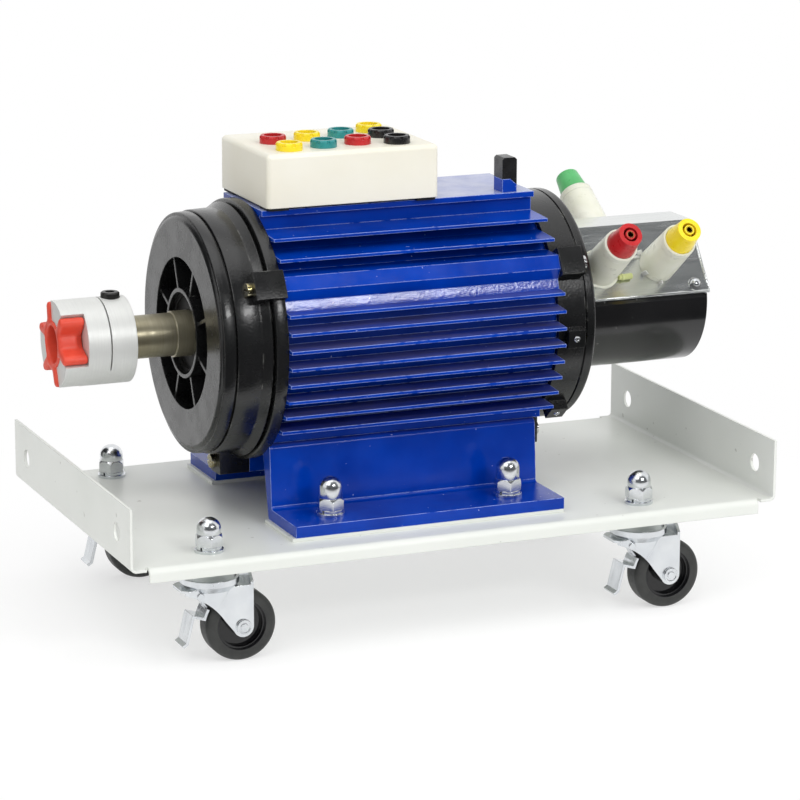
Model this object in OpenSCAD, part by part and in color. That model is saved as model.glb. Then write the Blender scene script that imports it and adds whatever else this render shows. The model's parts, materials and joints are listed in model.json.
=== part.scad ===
// Slip-ring induction motor for teaching, on a wheeled base.
// The shaft runs along X with the coupling at -X, Z is up, and the origin lies on the floor
// under the middle of the whole object.

/* [Base plate] */
// Length over the two end flanges
base_length = 480; // [440:1:540]
// Width over the two long lips
base_width = 260; // [250:1:300]
// Sheet thickness of the base plate
base_sheet = 2; // [1.5:0.25:3]
// Inside radius of the bends
base_bend = 2.5; // [1:0.5:4]
// Height of the end flanges above the plate
flange_height = 42; // [34:1:60]
// Depth of the long lips below the top of the plate
lip_depth = 10; // [8:0.5:13]
// Distance from the flange face to the end of a lip
lip_setback = 13.5; // [11:0.5:25]
// Diameter of the holes in the end flanges
end_hole_d = 13; // [8:0.5:16]
// Distance between the two holes of a flange
end_hole_spacing = 204; // [160:1:224]
// Height of the flange holes above the plate
end_hole_height = 19.5; // [15:0.5:24]

/* [Casters] */
// Floor to the underside of the base plate
caster_height = 75; // [73:0.5:84]
// Distance of the left swivel axes from the middle of the plate
caster_left = 176; // [150:1:185]
// Distance of the right swivel axes from the middle of the plate
caster_right = 145; // [130:1:185]
// Distance of the swivel axes from the long centre line
caster_side = 104; // [98:1:108]
// Diameter of a wheel
wheel_d = 50; // [46:0.5:52]
// Width of a tyre
wheel_w = 18; // [14:0.5:20]
// Radius of the tyre's shoulders
tyre_shoulder = 4; // [2:0.5:6]
// Distance of the axle behind the swivel axis
caster_trail = 20; // [19:0.5:21]
// Sheet thickness of a fork
fork_sheet = 2; // [1.5:0.25:2.5]
// Diameter of an axle
axle_d = 6; // [5:0.5:8]
// Outer radius of a fork's crown
crown_r = 20.2; // [19:0.2:22]
// Reach of a fork's nose in front of the swivel axis
fork_nose = 23; // [22:0.5:25]
// Diameter of the king pin that carries the fork
king_pin_d = 12; // [10:0.5:13]
// Sheet thickness of a brake pedal
pedal_sheet = 2; // [1.5:0.25:2.5]

/* [Fasteners] */
// Thread diameter of the studs and foot bolts
stud_d = 10; // [8:1:11]
// Width across the flats of the cap nuts
nut_flats = 17; // [16:0.5:19]
// Height of the hexagon of a cap nut
nut_hex_height = 8; // [6:0.5:10]
// Overall height of a cap nut
nut_height = 18; // [16:0.5:20]
// Outer diameter of a flat washer
washer_d = 20; // [19:0.5:24]
// Thickness of a flat washer
washer_t = 2; // [1.5:0.25:3]
// Thickness of a split lock washer
lock_t = 2.2; // [1.5:0.1:3]

/* [Feet] */
// Length of a foot profile
foot_length = 200; // [180:1:204]
// Left end of the feet from the middle of the plate
foot_left = 114.5; // [110:0.5:116]
// Distance of the outer edge of a foot from the centre line
foot_reach = 107; // [100:0.5:112]
// Thickness of a foot's flange
foot_flange = 8; // [6:0.5:10]
// Depth of the frame's seats on the feet below the shaft
foot_drop = 70.5; // [69:0.5:72]
// Outer face of the wall from the centre line, at its top
foot_wall_out = 57; // [55:0.5:60]
// Outer face of the wall from the centre line, at the flange
foot_wall_root = 60; // [58:0.5:63]
// Thickness of the wall at its top
foot_wall_top = 14; // [11:0.5:16]
// Thickness of the wall at its foot
foot_wall_base = 6; // [4:0.5:9]
// Distance between the two bolts of a foot
foot_bolt_spacing = 133; // [110:1:150]
// Distance of the foot bolts from the centre line
foot_bolt_side = 85; // [80:0.5:90]
// Thickness of the spacer under a foot
spacer_t = 2.5; // [1.5:0.25:4]
// How far a spacer shows past the left end of its foot
spacer_overhang = 2.5; // [1:0.5:4]

/* [Motor frame] */
// Length of the finned frame
frame_length = 203.5; // [195:0.5:215]
// Left end of the frame from the middle of the plate
frame_left = 112; // [108:0.5:116]
// Outer radius of the barrel between the fins
barrel_r = 78; // [76:0.5:80]
// Bore radius of the frame
frame_bore_r = 70; // [68:0.5:71]
// Radius of the circle that the fin tips reach
fin_circle_r = 95; // [90:0.5:100]
// Distance from fin to fin
fin_pitch = 12; // [11.5:0.1:12.4]
// Thickness of a fin at its tip
fin_tip = 2.2; // [1.5:0.1:3]
// Thickness of a fin at its root
fin_root = 5.5; // [4:0.25:7]
// Height of the highest fin of the lower row above the shaft
fin_start = 25.8; // [24:0.2:27]
// Height of the upper two fins above the shaft, first one
upper_fin = 60.6; // [58:0.2:62]
// Height of the top pad above the shaft
pad_height = 89; // [87:0.5:92]
// Width of the top pad
pad_width = 76; // [70:1:80]
// Thickness of the pad's edge
pad_edge = 4; // [3:0.5:6]
// Length of the boss that holds the plug, along the shaft
boss_w = 11; // [10:0.5:14]
// Width of the boss across the shaft
boss_d = 14.4; // [12:0.2:16]
// Height of the boss above the pad
boss_height = 9.5; // [7:0.5:12]
// Distance of the boss from the right end of the frame
boss_setback = 18; // [14:0.5:24]
// Distance of the boss from the centre line
boss_side = 29; // [20:0.5:30]
// Height of the plug above its boss
plug_height = 15; // [12:0.5:20]

/* [End shields] */
// Outer radius of both shields
shield_r = 82; // [80:0.5:84]
// Depth of the drive-end shield
drive_depth = 45.5; // [44:0.5:50]
// Depth of the rear-end shield
rear_depth = 29.5; // [28:0.5:34]
// Radius of the recess in the drive-end shield
recess_r = 52.8; // [50:0.2:56]
// Depth of that recess
recess_depth = 14; // [12:0.5:15]
// Outer radius of the hub ring in the recess
hub_ring_r = 31.2; // [30:0.2:34]
// Number of ribs in the recess
rib_count = 8; // [6:1:12]
// Thickness of a rib
rib_t = 2.5; // [2:0.25:4]
// Wall thickness of the shields
shield_wall = 6; // [5:0.5:7]
// Radius of the circle of the upper lug screws
lug_circle_r = 87; // [86:0.5:89]
// Radius at which the bottom lug screw sits
low_lug_r = 93; // [91:0.5:96]
// Length of a lug along the shaft
lug_length = 22; // [18:0.5:25]
// Width of a lug
lug_width = 20; // [17:0.5:22]
// Thread diameter of the machine screws
screw_d = 6; // [5:0.5:6.5]

/* [Shaft and rotor] */
// Height of the shaft above the base plate
shaft_height = 126; // [125:0.5:132]
// Shaft diameter under the coupling
shaft_d = 30; // [28:0.5:31]
// Shaft diameter under the seal and the slip rings
collar_d = 32; // [31:0.5:33]
// Bore of the ball bearings
bearing_bore = 35; // [34:0.5:36]
// Outer diameter of the ball bearings
bearing_od = 72; // [70:0.5:73]
// Width of the ball bearings
bearing_w = 17; // [15:0.5:18]
// Balls in one bearing
ball_count = 9; // [7:1:10]
// Length of the stator and rotor cores
core_length = 120; // [100:1:130]
// Bore radius of the stator core
stator_bore_r = 44; // [42:0.5:46]
// Air gap between rotor and stator
air_gap = 0.5; // [0.4:0.05:1]
// Slots in the stator
stator_slots = 24; // [18:6:36]
// Slots in the rotor
rotor_slots = 18; // [12:6:24]
// Reach of the end turns past the core
end_turns = 26; // [20:0.5:28]

/* [Coupling] */
// Outer diameter of the coupling
coupling_d = 60; // [56:0.5:64]
// Length of the hub without its jaws
coupling_hub_length = 34.5; // [32:0.5:40]
// Length of the jaws
jaw_length = 16; // [12:0.5:18]
// Right end of the hub from the middle of the plate
coupling_right = 199; // [196:0.5:204]
// Angle that one jaw covers
jaw_angle = 46; // [40:1:48]
// Turn of a gap between two jaws from the rear side of the coupling
gap_turn = 164.6; // [150:0.1:180]
// Thickness of one leg of the spider
spider_leg = 6.4; // [5:0.1:7]
// Wall thickness of the spider's ring
spider_wall = 2.6; // [2:0.1:4]
// Head diameter of the clamping screw
clamp_head_d = 13; // [11:0.5:14]
// How far the clamping screw stands out of the hub
clamp_stand = 3.5; // [3:0.5:7]

/* [Slip rings and brushes] */
// Outer radius of the slip-ring cover
cover_r = 49.5; // [48:0.5:51]
// Length of the slip-ring cover
cover_length = 103.5; // [100:0.5:115]
// Sheet thickness of the cover
cover_sheet = 1.5; // [1:0.25:2]
// Radius of a slip ring
ring_r = 28; // [26:0.5:29]
// Width of a slip ring
ring_w = 12; // [10:0.5:14]
// Distance from ring to ring
ring_pitch = 23; // [21:0.5:24]
// Distance of the first ring from the rear shield
ring_start = 14; // [12:0.5:16]
// Width of a brush along the shaft
brush_w = 8; // [6:0.5:9]
// Width of a brush across the shaft
brush_d = 14; // [12:0.5:16]
// Length of a brush
brush_length = 13.5; // [11:0.5:14]
// Lift of a brush off its ring
brush_lift = 3; // [2:0.5:4]

/* [Terminal hood] */
// Width of the flat ridge
ridge_width = 31.4; // [28:0.2:34]
// Height of the ridge above the shaft
ridge_height = 55.5; // [55:0.5:58]
// Slope of the two faces
hood_angle = 55; // [54:0.5:57]
// Sheet thickness of the hood
hood_sheet = 1.5; // [1:0.25:2]
// How far the hood stands out past the end of the cover
hood_overhang = 2.5; // [1:0.5:4]
// Distance between the two front terminals
terminal_spacing = 46; // [40:0.5:50]
// Distance of the front terminals below the ridge, along the face
front_terminal_drop = 33.5; // [28:0.5:36]
// Distance of the rear terminal below the ridge, along the face
rear_terminal_drop = 19; // [14.5:0.5:30]
// Length of a terminal's white body
terminal_body_length = 42; // [34:0.5:46]
// Radius of a terminal's body at the hood
terminal_body_r = 13.5; // [12.5:0.25:14.5]
// Radius of a terminal's body at its tip
terminal_neck_r = 12.3; // [11.5:0.1:12.5]
// Length of a coloured tip
tip_length = 18; // [15:0.5:22]
// Radius of a tip at the body
tip_root_r = 10.6; // [9.5:0.1:11]
// Radius of a tip at its face
tip_face_r = 8.6; // [7.4:0.1:9.2]

/* [Terminal box and sockets] */
// Length of the terminal box
box_length = 126.5; // [120:0.5:134]
// Width of the terminal box
box_width = 92.5; // [88:0.5:96]
// Height of the terminal box
box_height = 37; // [32:0.5:42]
// Radius of the box's edges
box_round = 3.5; // [2:0.5:6]
// Wall thickness of the box
box_wall = 3; // [2:0.25:4]
// Left end of the box from the middle of the plate
box_left = 110; // [106:0.5:112]
// Front face of the box from the centre line
box_front = 43.5; // [42:0.5:45]
// Thickness of the four pads under the box
box_pad_t = 2; // [1.5:0.25:3]
// Collar diameter of a safety socket
socket_d = 18.4; // [16:0.2:19]
// Height of a socket's collar above the box
socket_stand = 5.5; // [4:0.25:8]
// Bore of every safety socket, for a plug pin of four millimetres
plug_bore_d = 4.1; // [4.05:0.01:4.2]
// Distance of the first socket column from the left end of the box
socket_margin = 22; // [20:0.5:23]
// Distance of the last socket column from the right end of the box
socket_end = 25; // [22:0.5:26]
// Step across the box from one column of a row to the next
row_slant = 3.4; // [0:0.1:4]

/* [Fits] */
// Radial gap between a pin and the hole it turns in
running_gap = 0.05; // [0.02:0.01:0.1]
// Gap between pieces that are pressed or clamped together
seat_gap = 0.04; // [0.02:0.01:0.08]
// Gap between sprung or sliding pieces and their guides
slide_gap = 0.3; // [0.25:0.05:0.4]

/* [Hidden] */
$fn = 72;
eps = 0.05;

// Heights above the floor
base_top = caster_height + base_sheet;
axis_z = base_top + shaft_height;
foot_floor = base_top + spacer_t;
foot_top = foot_floor + foot_flange;
foot_rise = shaft_height - spacer_t - foot_drop;
pad_top = axis_z + pad_height;
box_floor = pad_top + box_pad_t;
box_top = box_floor + box_height;

// Places along the shaft, from the middle of the plate
base_end = base_length / 2;
frame_x0 = -frame_left;
frame_x1 = frame_x0 + frame_length;
drive_face = frame_x0 - drive_depth;
rear_face = frame_x1 + rear_depth;
boss_x = frame_x1 - boss_setback;
cover_end = rear_face + cover_length;
coupling_x1 = -coupling_right;
coupling_x0 = coupling_x1 - coupling_hub_length;
jaw_x0 = coupling_x0 - jaw_length;
spider_face = 1.5;
core_x0 = (frame_x0 + frame_x1 - core_length) / 2;
core_x1 = core_x0 + core_length;
foot_x0 = -foot_left;
foot_mid = foot_x0 + foot_length / 2;

// The whole object is centred over the origin
shift_x = -(min(jaw_x0 - spider_face, -base_end) + base_end) / 2;

// Bends of the base plate
bend_out = base_bend + base_sheet;
lip_half = base_end - lip_setback;

// Studs and bolts that end in a cap nut: x, y and the height of the seat
caster_spots = [
    [-caster_left, -caster_side], [caster_right, -caster_side],
    [-caster_left, caster_side], [caster_right, caster_side]
];
foot_bolt_spots = [
    for (side = [-1, 1]) for (end = [-1, 1]) [foot_mid + end * foot_bolt_spacing / 2, side * foot_bolt_side]
];
nut_seats = concat(
    [for (p = caster_spots) [p.x, p.y, base_top]],
    [for (p = foot_bolt_spots) [p.x, p.y, foot_top]]
);
stud_hole_r = stud_d / 2 + 0.25;
thread_r = stud_d / 2 + seat_gap;
stud_reach = washer_t + lock_t + nut_hex_height + 2;
nut_cap_r = nut_flats / 2 - 0.9;
bolt_head_h = 6.4;

// Caster levels above the floor
axle_z = wheel_d / 2;
crown_gap = 2;
crown_z = wheel_d + crown_gap;
crown_top = crown_z + fork_sheet;
crown_lip = 6.5;
cup_top = crown_top + crown_lip;
race_gap = 0.4;
race_r = crown_r - fork_sheet - 0.6;
head_rise = 12;
head_top = crown_top + head_rise;
leg_in = wheel_w / 2 + 1.2;
leg_out = leg_in + fork_sheet;
leg_r = 7.2;
nose_cut = 4;
flare_height = 14;
king_rivet_r = 7.5;
pivot = [-10.5, crown_z - 2.7];
pivot_r = 1.4;
knuckle_r = 2.4;
rivet_head = 2;
rivet_r = 5.2;
rib_ring = 1.6;

// Shield details
spigot_depth = 4.5;
spigot_r = frame_bore_r - seat_gap;
spigot_wall = 4;
hub_ring_wall = 2.6;
hub_bore_r = hub_ring_r - hub_ring_wall;
groove_w = 1.5;
groove_depth = 1.4;
bearing_r = bearing_od / 2;
bearing_seat_r = bearing_r + seat_gap;
boss_out_r = bearing_r + 7;
abutment = 5;
abutment_r = bearing_bore / 2 + 6.5;
drive_bearing_x = drive_face + recess_depth + abutment;
rear_bearing_x = frame_x1 + abutment;
low_lug_wall = 8;
main_lugs = [30, 150, 270];
side_lugs = [185, 355, 230, 310];
screw_head_r = screw_d * 0.8;
screw_head_h = screw_d * 0.65;
screw_hole_r = screw_d / 2 + 0.2;
screw_bite_r = screw_d / 2 + seat_gap;
screw_bite = 12;

// Bearings
inner_race_r = bearing_bore / 2 + 4.8;
outer_race_r = bearing_r - 4.8;
ball_pitch_r = (bearing_bore / 2 + bearing_r) / 2;
ball_r = (bearing_r - bearing_bore / 2) * 0.27;
race_groove_r = ball_r + 0.2;

// Rotor
rotor_r = stator_bore_r - air_gap;
spider_shaft_r = collar_d / 2 + 6;
sleeve_r = collar_d / 2 + 5;
sleeve_x0 = rear_face + 2;
sleeve_x1 = rear_face + ring_start + 2 * ring_pitch + ring_w + 10;
shaft_end = sleeve_x1 + 2;
slot_depth = 14;
slot_w = 6;
slot_clear = 0.25;

// Hood: the lower edges lie where the sloping faces meet the cover's cylinder
ridge_half = ridge_width / 2;
hood_swing = ridge_height * sin(hood_angle) - ridge_half * cos(hood_angle);
hood_face = hood_swing
    + sqrt(pow(hood_swing, 2) - pow(ridge_half, 2) - pow(ridge_height, 2) + pow(cover_r, 2));
hood_edge_v = ridge_height - hood_face * sin(hood_angle);
gable_v = hood_edge_v - hood_sheet * cos(hood_angle);
flap_length = 13;
terminal_x = (rear_face + cover_end) / 2 - 5;
rear_terminal_shift = 4;
terminal_stem_r = 5;
terminal_stem = 10;

// Brush gear, above the rings
holder_bottom = ring_r + 3.5;
spring_room = brush_lift + 5;
brush_foot = ring_r + slide_gap;
brush_top = brush_foot + brush_length;
pocket_top = brush_top + spring_room;
holder_top = pocket_top + 2;
holder_wall = 4;
holder_half = brush_d / 2 + holder_wall;
spring_r = 3.2;
spring_wire = 0.9;
ring_centres = [for (i = [0:2]) rear_face + ring_start + i * ring_pitch + ring_w / 2];

// Sockets: column, distance from the box's centre line
socket_front = -27.8;
socket_back = 3.6;
socket_far = 23.5;
socket_mid = 1;
socket_tube_r = 3.6;
socket_well_r = 6.3;
socket_well = 16;
tube_sink = 3;
tip_well_r = 5.3;
socket_shank_r = 7.4;
socket_shank = 20;
plug_r = plug_bore_d / 2;
plug_depth = 22;
socket_notches = 8;

// Places an assembly drawn about the middle of the plate over the origin
module place() {
    translate([shift_x, 0, 0]) children();
}

// Extrudes a section, drawn in Y and Z about the shaft, along the shaft
module along_shaft(x0, length) {
    translate([x0, 0, axis_z]) rotate([90, 0, 90]) linear_extrude(length) children();
}

// Turns a profile, drawn as radius and distance along the shaft, about the shaft
module turned(x0) {
    translate([x0, 0, axis_z]) rotate([0, 90, 0]) rotate_extrude() children();
}

// A rod along the shaft direction at a place about the shaft
module rod_x(x0, length, r, at = [0, 0]) {
    translate([x0, at.x, axis_z + at.y]) rotate([0, 90, 0]) cylinder(h = length, r = r);
}

// A rod across the base, along Y
module rod_y(x, z, r, y0, y1) {
    translate([x, y1, z]) rotate([90, 0, 0]) cylinder(h = y1 - y0, r = r);
}

// Section of a folded sheet of thickness t along the points of its middle line
module folded(points, t) {
    far_edge = side_line(points, -t / 2);
    polygon(concat(side_line(points, t / 2), [for (i = [len(points) - 1:-1:0]) far_edge[i]]));
}

// Points beside a line at the distance h, mitred at its corners
function side_line(points, h) = [
    for (i = [0:len(points) - 1]) points[i] + h * (
        i == 0 ? left_of(points[0], points[1])
        : i == len(points) - 1 ? left_of(points[i - 1], points[i])
        : mitre(left_of(points[i - 1], points[i]), left_of(points[i], points[i + 1])))
];

function left_of(a, b) = [a.y - b.y, b.x - a.x] / norm(b - a);

function mitre(m, n) = (m + n) / (1 + m * n);

// Point where a line from a touches the circle about c on its right hand
function touch(a, c, r) =
    let (d = norm(c - a), turn = atan2(c.y - a.y, c.x - a.x) - asin(r / d), run = sqrt(d * d - r * r))
    a + run * [cos(turn), sin(turn)];

// Place on a circle about the shaft, as Y and Z
function polar(r, angle) = [r * cos(angle), r * sin(angle)];

// Base plate

module bend_corner() {
    intersection() {
        difference() {
            circle(r = bend_out);
            circle(r = base_bend);
        }
        square(bend_out);
    }
}

// Section of the plate with one upturned flange, from the middle to the right end
module flange_section(x0) {
    translate([x0, base_top - base_sheet]) square([base_end - bend_out - x0, base_sheet]);
    translate([base_end - bend_out, base_top - base_sheet + bend_out]) mirror([0, 1]) bend_corner();
    translate([base_end - base_sheet, base_top - base_sheet + bend_out])
        square([base_sheet, flange_height + base_sheet - bend_out]);
}

module across(width) {
    translate([0, width / 2, 0]) rotate([90, 0, 0]) linear_extrude(width) children();
}

// One long edge: the bend down and the lip
module lip_section() {
    tuck = 1;
    translate([base_width / 2 - bend_out - tuck, base_top - base_sheet]) square([tuck, base_sheet]);
    translate([base_width / 2 - bend_out, base_top - bend_out]) bend_corner();
    translate([base_width / 2 - base_sheet, base_top - lip_depth])
        square([base_sheet, lip_depth - bend_out]);
}

module base_plate() {
    inner_width = base_width - 2 * bend_out;
    color([0.87, 0.88, 0.86]) place() difference() {
        union() {
            for (side = [0, 1]) mirror([side, 0, 0]) {
                across(inner_width) flange_section(0);
                across(base_width) flange_section(lip_half + base_sheet);
            }
            for (side = [0, 1]) mirror([0, side, 0])
                translate([-lip_half, 0, 0]) rotate([90, 0, 90]) linear_extrude(2 * lip_half) lip_section();
        }
        for (p = concat(caster_spots, foot_bolt_spots))
            translate([p.x, p.y, caster_height - 1]) cylinder(h = base_sheet + 2, r = stud_hole_r);
        for (end = [-1, 1]) for (side = [-1, 1])
            translate([end * base_end, side * end_hole_spacing / 2, base_top + end_hole_height])
                rotate([0, 90, 0]) cylinder(h = 4 * base_sheet, d = end_hole_d, center = true);
    }
}

// Feet under the motor frame

module foot_spacers() {
    spacer_in = foot_wall_root - foot_wall_base;
    color([0.85, 0.85, 0.82]) place() for (side = [0, 1]) mirror([0, side, 0]) difference() {
        translate([foot_x0 - spacer_overhang, -foot_reach, base_top])
            cube([foot_length + spacer_overhang, foot_reach - spacer_in, spacer_t]);
        for (end = [-1, 1])
            translate([foot_mid + end * foot_bolt_spacing / 2, -foot_bolt_side, base_top - 1])
                cylinder(h = spacer_t + 2, r = stud_hole_r);
    }
}

// Section of a foot, outward from the centre line and up from the spacer
module foot_section() {
    edge_r = 4;
    root_r = 2;
    difference() {
        union() {
            translate([foot_wall_root - foot_wall_base, 0])
                square([foot_reach - foot_wall_root + foot_wall_base, foot_flange]);
            polygon([
                [foot_wall_root - foot_wall_base, 0], [foot_wall_root, 0], [foot_wall_root, foot_flange],
                [foot_wall_out, foot_rise - edge_r], [foot_wall_out - edge_r, foot_rise],
                [foot_wall_out - foot_wall_top, foot_rise],
                [foot_wall_out - foot_wall_top, foot_rise - edge_r]
            ]);
            translate([foot_wall_out - edge_r, foot_rise - edge_r]) circle(r = edge_r);
            translate([foot_wall_root - root_r / 2, foot_flange - root_r / 2]) square(root_r * 1.5);
        }
        translate([foot_wall_root + root_r, foot_flange + root_r]) circle(r = root_r);
    }
}

module foot() {
    difference() {
        translate([foot_x0, 0, foot_floor]) rotate([90, 0, 90]) linear_extrude(foot_length) foot_section();
        for (end = [-1, 1])
            translate([foot_mid + end * foot_bolt_spacing / 2, foot_bolt_side, foot_floor - 1])
                cylinder(h = foot_flange + 2, r = stud_hole_r);
    }
}

module front_foot() {
    color([0.05, 0.17, 0.6]) place() mirror([0, 1, 0]) foot();
}

module rear_foot() {
    color([0.05, 0.17, 0.6]) place() foot();
}

module foot_bolts() {
    color([0.75, 0.76, 0.78]) place() for (p = foot_bolt_spots) translate([p.x, p.y, 0]) {
        translate([0, 0, caster_height - bolt_head_h])
            cylinder(h = bolt_head_h, r = nut_flats / sqrt(3), $fn = 6);
        translate([0, 0, caster_height - eps])
            cylinder(h = foot_top + stud_reach - caster_height + eps, d = stud_d);
    }
}

// Nuts and washers on the studs and bolts

module flat_washers() {
    color([0.78, 0.79, 0.8]) place() for (p = nut_seats) translate(p) difference() {
        cylinder(h = washer_t, d = washer_d);
        translate([0, 0, -1]) cylinder(h = washer_t + 2, r = stud_hole_r);
    }
}

module lock_washers() {
    lock_r = nut_flats / 2 + 0.4;
    split = 1.4;
    color([0.72, 0.73, 0.75]) place() for (p = nut_seats) translate([p.x, p.y, p.z + washer_t]) difference() {
        cylinder(h = lock_t, r = lock_r);
        translate([0, 0, -1]) cylinder(h = lock_t + 2, r = stud_hole_r);
        rotate(215) translate([0, -split / 2, -1]) cube([lock_r + 1, split, lock_t + 2]);
    }
}

// Hexagon with chamfered corners under a domed cap, with a blind thread
module cap_nut() {
    corner_r = nut_flats / sqrt(3);
    dome_z = nut_height - nut_cap_r;
    difference() {
        union() {
            intersection() {
                cylinder(h = nut_hex_height, r = corner_r, $fn = 6);
                cylinder(h = nut_hex_height, r1 = corner_r + 4, r2 = nut_flats / 2);
            }
            cylinder(h = dome_z, r = nut_cap_r);
            translate([0, 0, dome_z]) sphere(r = nut_cap_r);
        }
        translate([0, 0, -1]) cylinder(h = nut_hex_height + 4.5, r = thread_r);
    }
}

module cap_nuts() {
    color([0.85, 0.86, 0.88]) place() for (p = nut_seats)
        translate([p.x, p.y, p.z + washer_t + lock_t]) rotate(p.y > 0 ? 8 : 20) cap_nut();
}

// Casters, drawn with the swivel axis at the origin and the floor at zero

module caster_head() {
    pin_r = king_pin_d / 2;
    rivet_z = crown_z - race_gap;
    rotate_extrude() polygon([
        [0, rivet_z - rivet_head], [king_rivet_r, rivet_z - rivet_head], [king_rivet_r, rivet_z],
        [pin_r, rivet_z], [pin_r, crown_top + race_gap], [race_r - 3, crown_top + race_gap],
        [race_r, crown_top + 3.6], [race_r, crown_top + 6], [race_r - 5, head_top], [0, head_top]
    ]);
    translate([0, 0, head_top - eps])
        cylinder(h = caster_height - head_top + eps, r = nut_flats / sqrt(3), $fn = 6);
    translate([0, 0, caster_height - eps])
        cylinder(h = base_sheet + stud_reach + eps, d = stud_d);
}

module caster_heads() {
    color([0.8, 0.81, 0.83]) place() for (p = caster_spots) translate(p) caster_head();
}

// Side view of one fork leg: straight at the back, hollow in front, round about the axle
leg_axle = [caster_trail, axle_z];
leg_tip = [-fork_nose, crown_z - 1];
leg_knee = [caster_trail - 16, axle_z + 9];
leg_touch = touch(leg_knee, leg_axle, leg_r - 0.2);
leg_run = (leg_touch - leg_knee) / norm(leg_touch - leg_knee);
leg_side = [leg_run.y, -leg_run.x];
hollow_r = pow(norm(leg_tip - leg_knee), 2) / (2 * (leg_tip - leg_knee) * leg_side);

module leg_hollow() {
    translate(leg_knee + hollow_r * leg_side) circle(r = hollow_r + 0.2, $fn = 144);
}

module leg_outline() {
    back = caster_trail + leg_r;
    difference() {
        polygon([
            [back, axle_z], [back, crown_top], [-fork_nose, crown_top], leg_tip, leg_knee, leg_touch, leg_axle
        ]);
        leg_hollow();
    }
    translate(leg_axle) circle(r = leg_r);
}

// Shoulders that carry the legs into the round crown
module fork_flare() {
    difference() {
        translate([0, 0, crown_z - flare_height])
            cylinder(h = flare_height + eps, r1 = leg_out - 0.5, r2 = crown_r - 4.4);
        translate([-crown_r, -leg_in, crown_z - flare_height - 1])
            cube([2 * crown_r, 2 * leg_in, flare_height + 2]);
        translate([0, crown_r, 0]) rotate([90, 0, 0]) linear_extrude(2 * crown_r) leg_hollow();
    }
}

module fork_plate() {
    difference() {
        translate([-fork_nose, -leg_out, crown_z])
            cube([fork_nose + caster_trail + leg_r, 2 * leg_out, fork_sheet]);
        translate([0, 0, crown_z - 1]) cylinder(h = fork_sheet + 2, r = crown_r - 6);
    }
}

// Corner that is cut off the nose on the +Y side
module nose_corner() {
    translate([0, 0, crown_z - flare_height]) linear_extrude(2 * flare_height) polygon([
        [-fork_nose - 1, leg_out - nose_cut - 1], [-fork_nose + nose_cut + 1, leg_out + 1],
        [-fork_nose - 1, leg_out + 1]
    ]);
}

module fork() {
    tab_x = caster_trail + leg_r - fork_sheet;
    tab_top = cup_top + 2.5;
    difference() {
        union() {
            rotate_extrude() polygon([
                [king_pin_d / 2 + running_gap, crown_z], [crown_r - 4.2, crown_z], [crown_r, crown_z + 4.5],
                [crown_r, cup_top], [crown_r - fork_sheet, cup_top], [crown_r - fork_sheet, crown_top + 3.3],
                [crown_r - 5, crown_top], [king_pin_d / 2 + running_gap, crown_top]
            ]);
            for (side = [0, 1]) mirror([0, side, 0])
                translate([0, leg_out, 0]) rotate([90, 0, 0]) linear_extrude(fork_sheet) leg_outline();
            fork_flare();
            fork_plate();
            translate([tab_x, 0, 0]) rotate([90, 0, 90]) linear_extrude(fork_sheet) polygon([
                [-leg_out, crown_z], [leg_out, crown_z], [leg_out, crown_top + 2], [6, tab_top],
                [-6, tab_top], [-leg_out, crown_top + 2]
            ]);
            rod_y(caster_trail, axle_z, axle_d / 2, -leg_out - eps, leg_out + eps);
            for (side = [0, 1]) mirror([0, side, 0]) {
                rod_y(caster_trail, axle_z, rivet_r, -leg_out - rivet_head, -leg_out + eps);
                rod_y(pivot.x, pivot.y, pivot_r + 1, -leg_out - 1, -leg_out + eps);
            }
            rod_y(pivot.x, pivot.y, pivot_r, -leg_out - eps, leg_out + eps);
        }
        for (side = [0, 1]) mirror([0, side, 0]) {
            axle_dimple();
            nose_corner();
        }
    }
}

// Ring pressed into the head of the axle rivet
module axle_dimple() {
    difference() {
        rod_y(caster_trail, axle_z, rivet_r - 1.2, -leg_out - rivet_head - 1, -leg_out - rivet_head + 0.7);
        rod_y(caster_trail, axle_z, rivet_r - 2.6, -leg_out - rivet_head - 1, -leg_out - rivet_head + 0.7);
    }
}

module wheel() {
    tread_r = wheel_d / 2;
    half = wheel_w / 2;
    rim_r = tread_r * 0.68;
    web = 3.2;
    shoulder_r = tread_r - tyre_shoulder;
    translate([caster_trail, 0, axle_z]) rotate([90, 0, 0]) rotate_extrude() {
        translate([rim_r, -half]) square([shoulder_r - rim_r, wheel_w]);
        translate([rim_r, tyre_shoulder - half]) square([tread_r - rim_r, wheel_w - 2 * tyre_shoulder]);
        for (side = [-1, 1]) translate([shoulder_r, side * (half - tyre_shoulder)]) circle(r = tyre_shoulder);
        translate([rim_r - rib_ring, 2 - half]) square([rib_ring + eps, wheel_w - 4]);
        translate([axle_d / 2 + 2, -web]) square([rim_r - axle_d / 2 - 2 - rib_ring / 2, 2 * web]);
        translate([axle_d / 2 + running_gap, slide_gap - leg_in]) square([4.5, 2 * (leg_in - slide_gap)]);
    }
}

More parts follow.
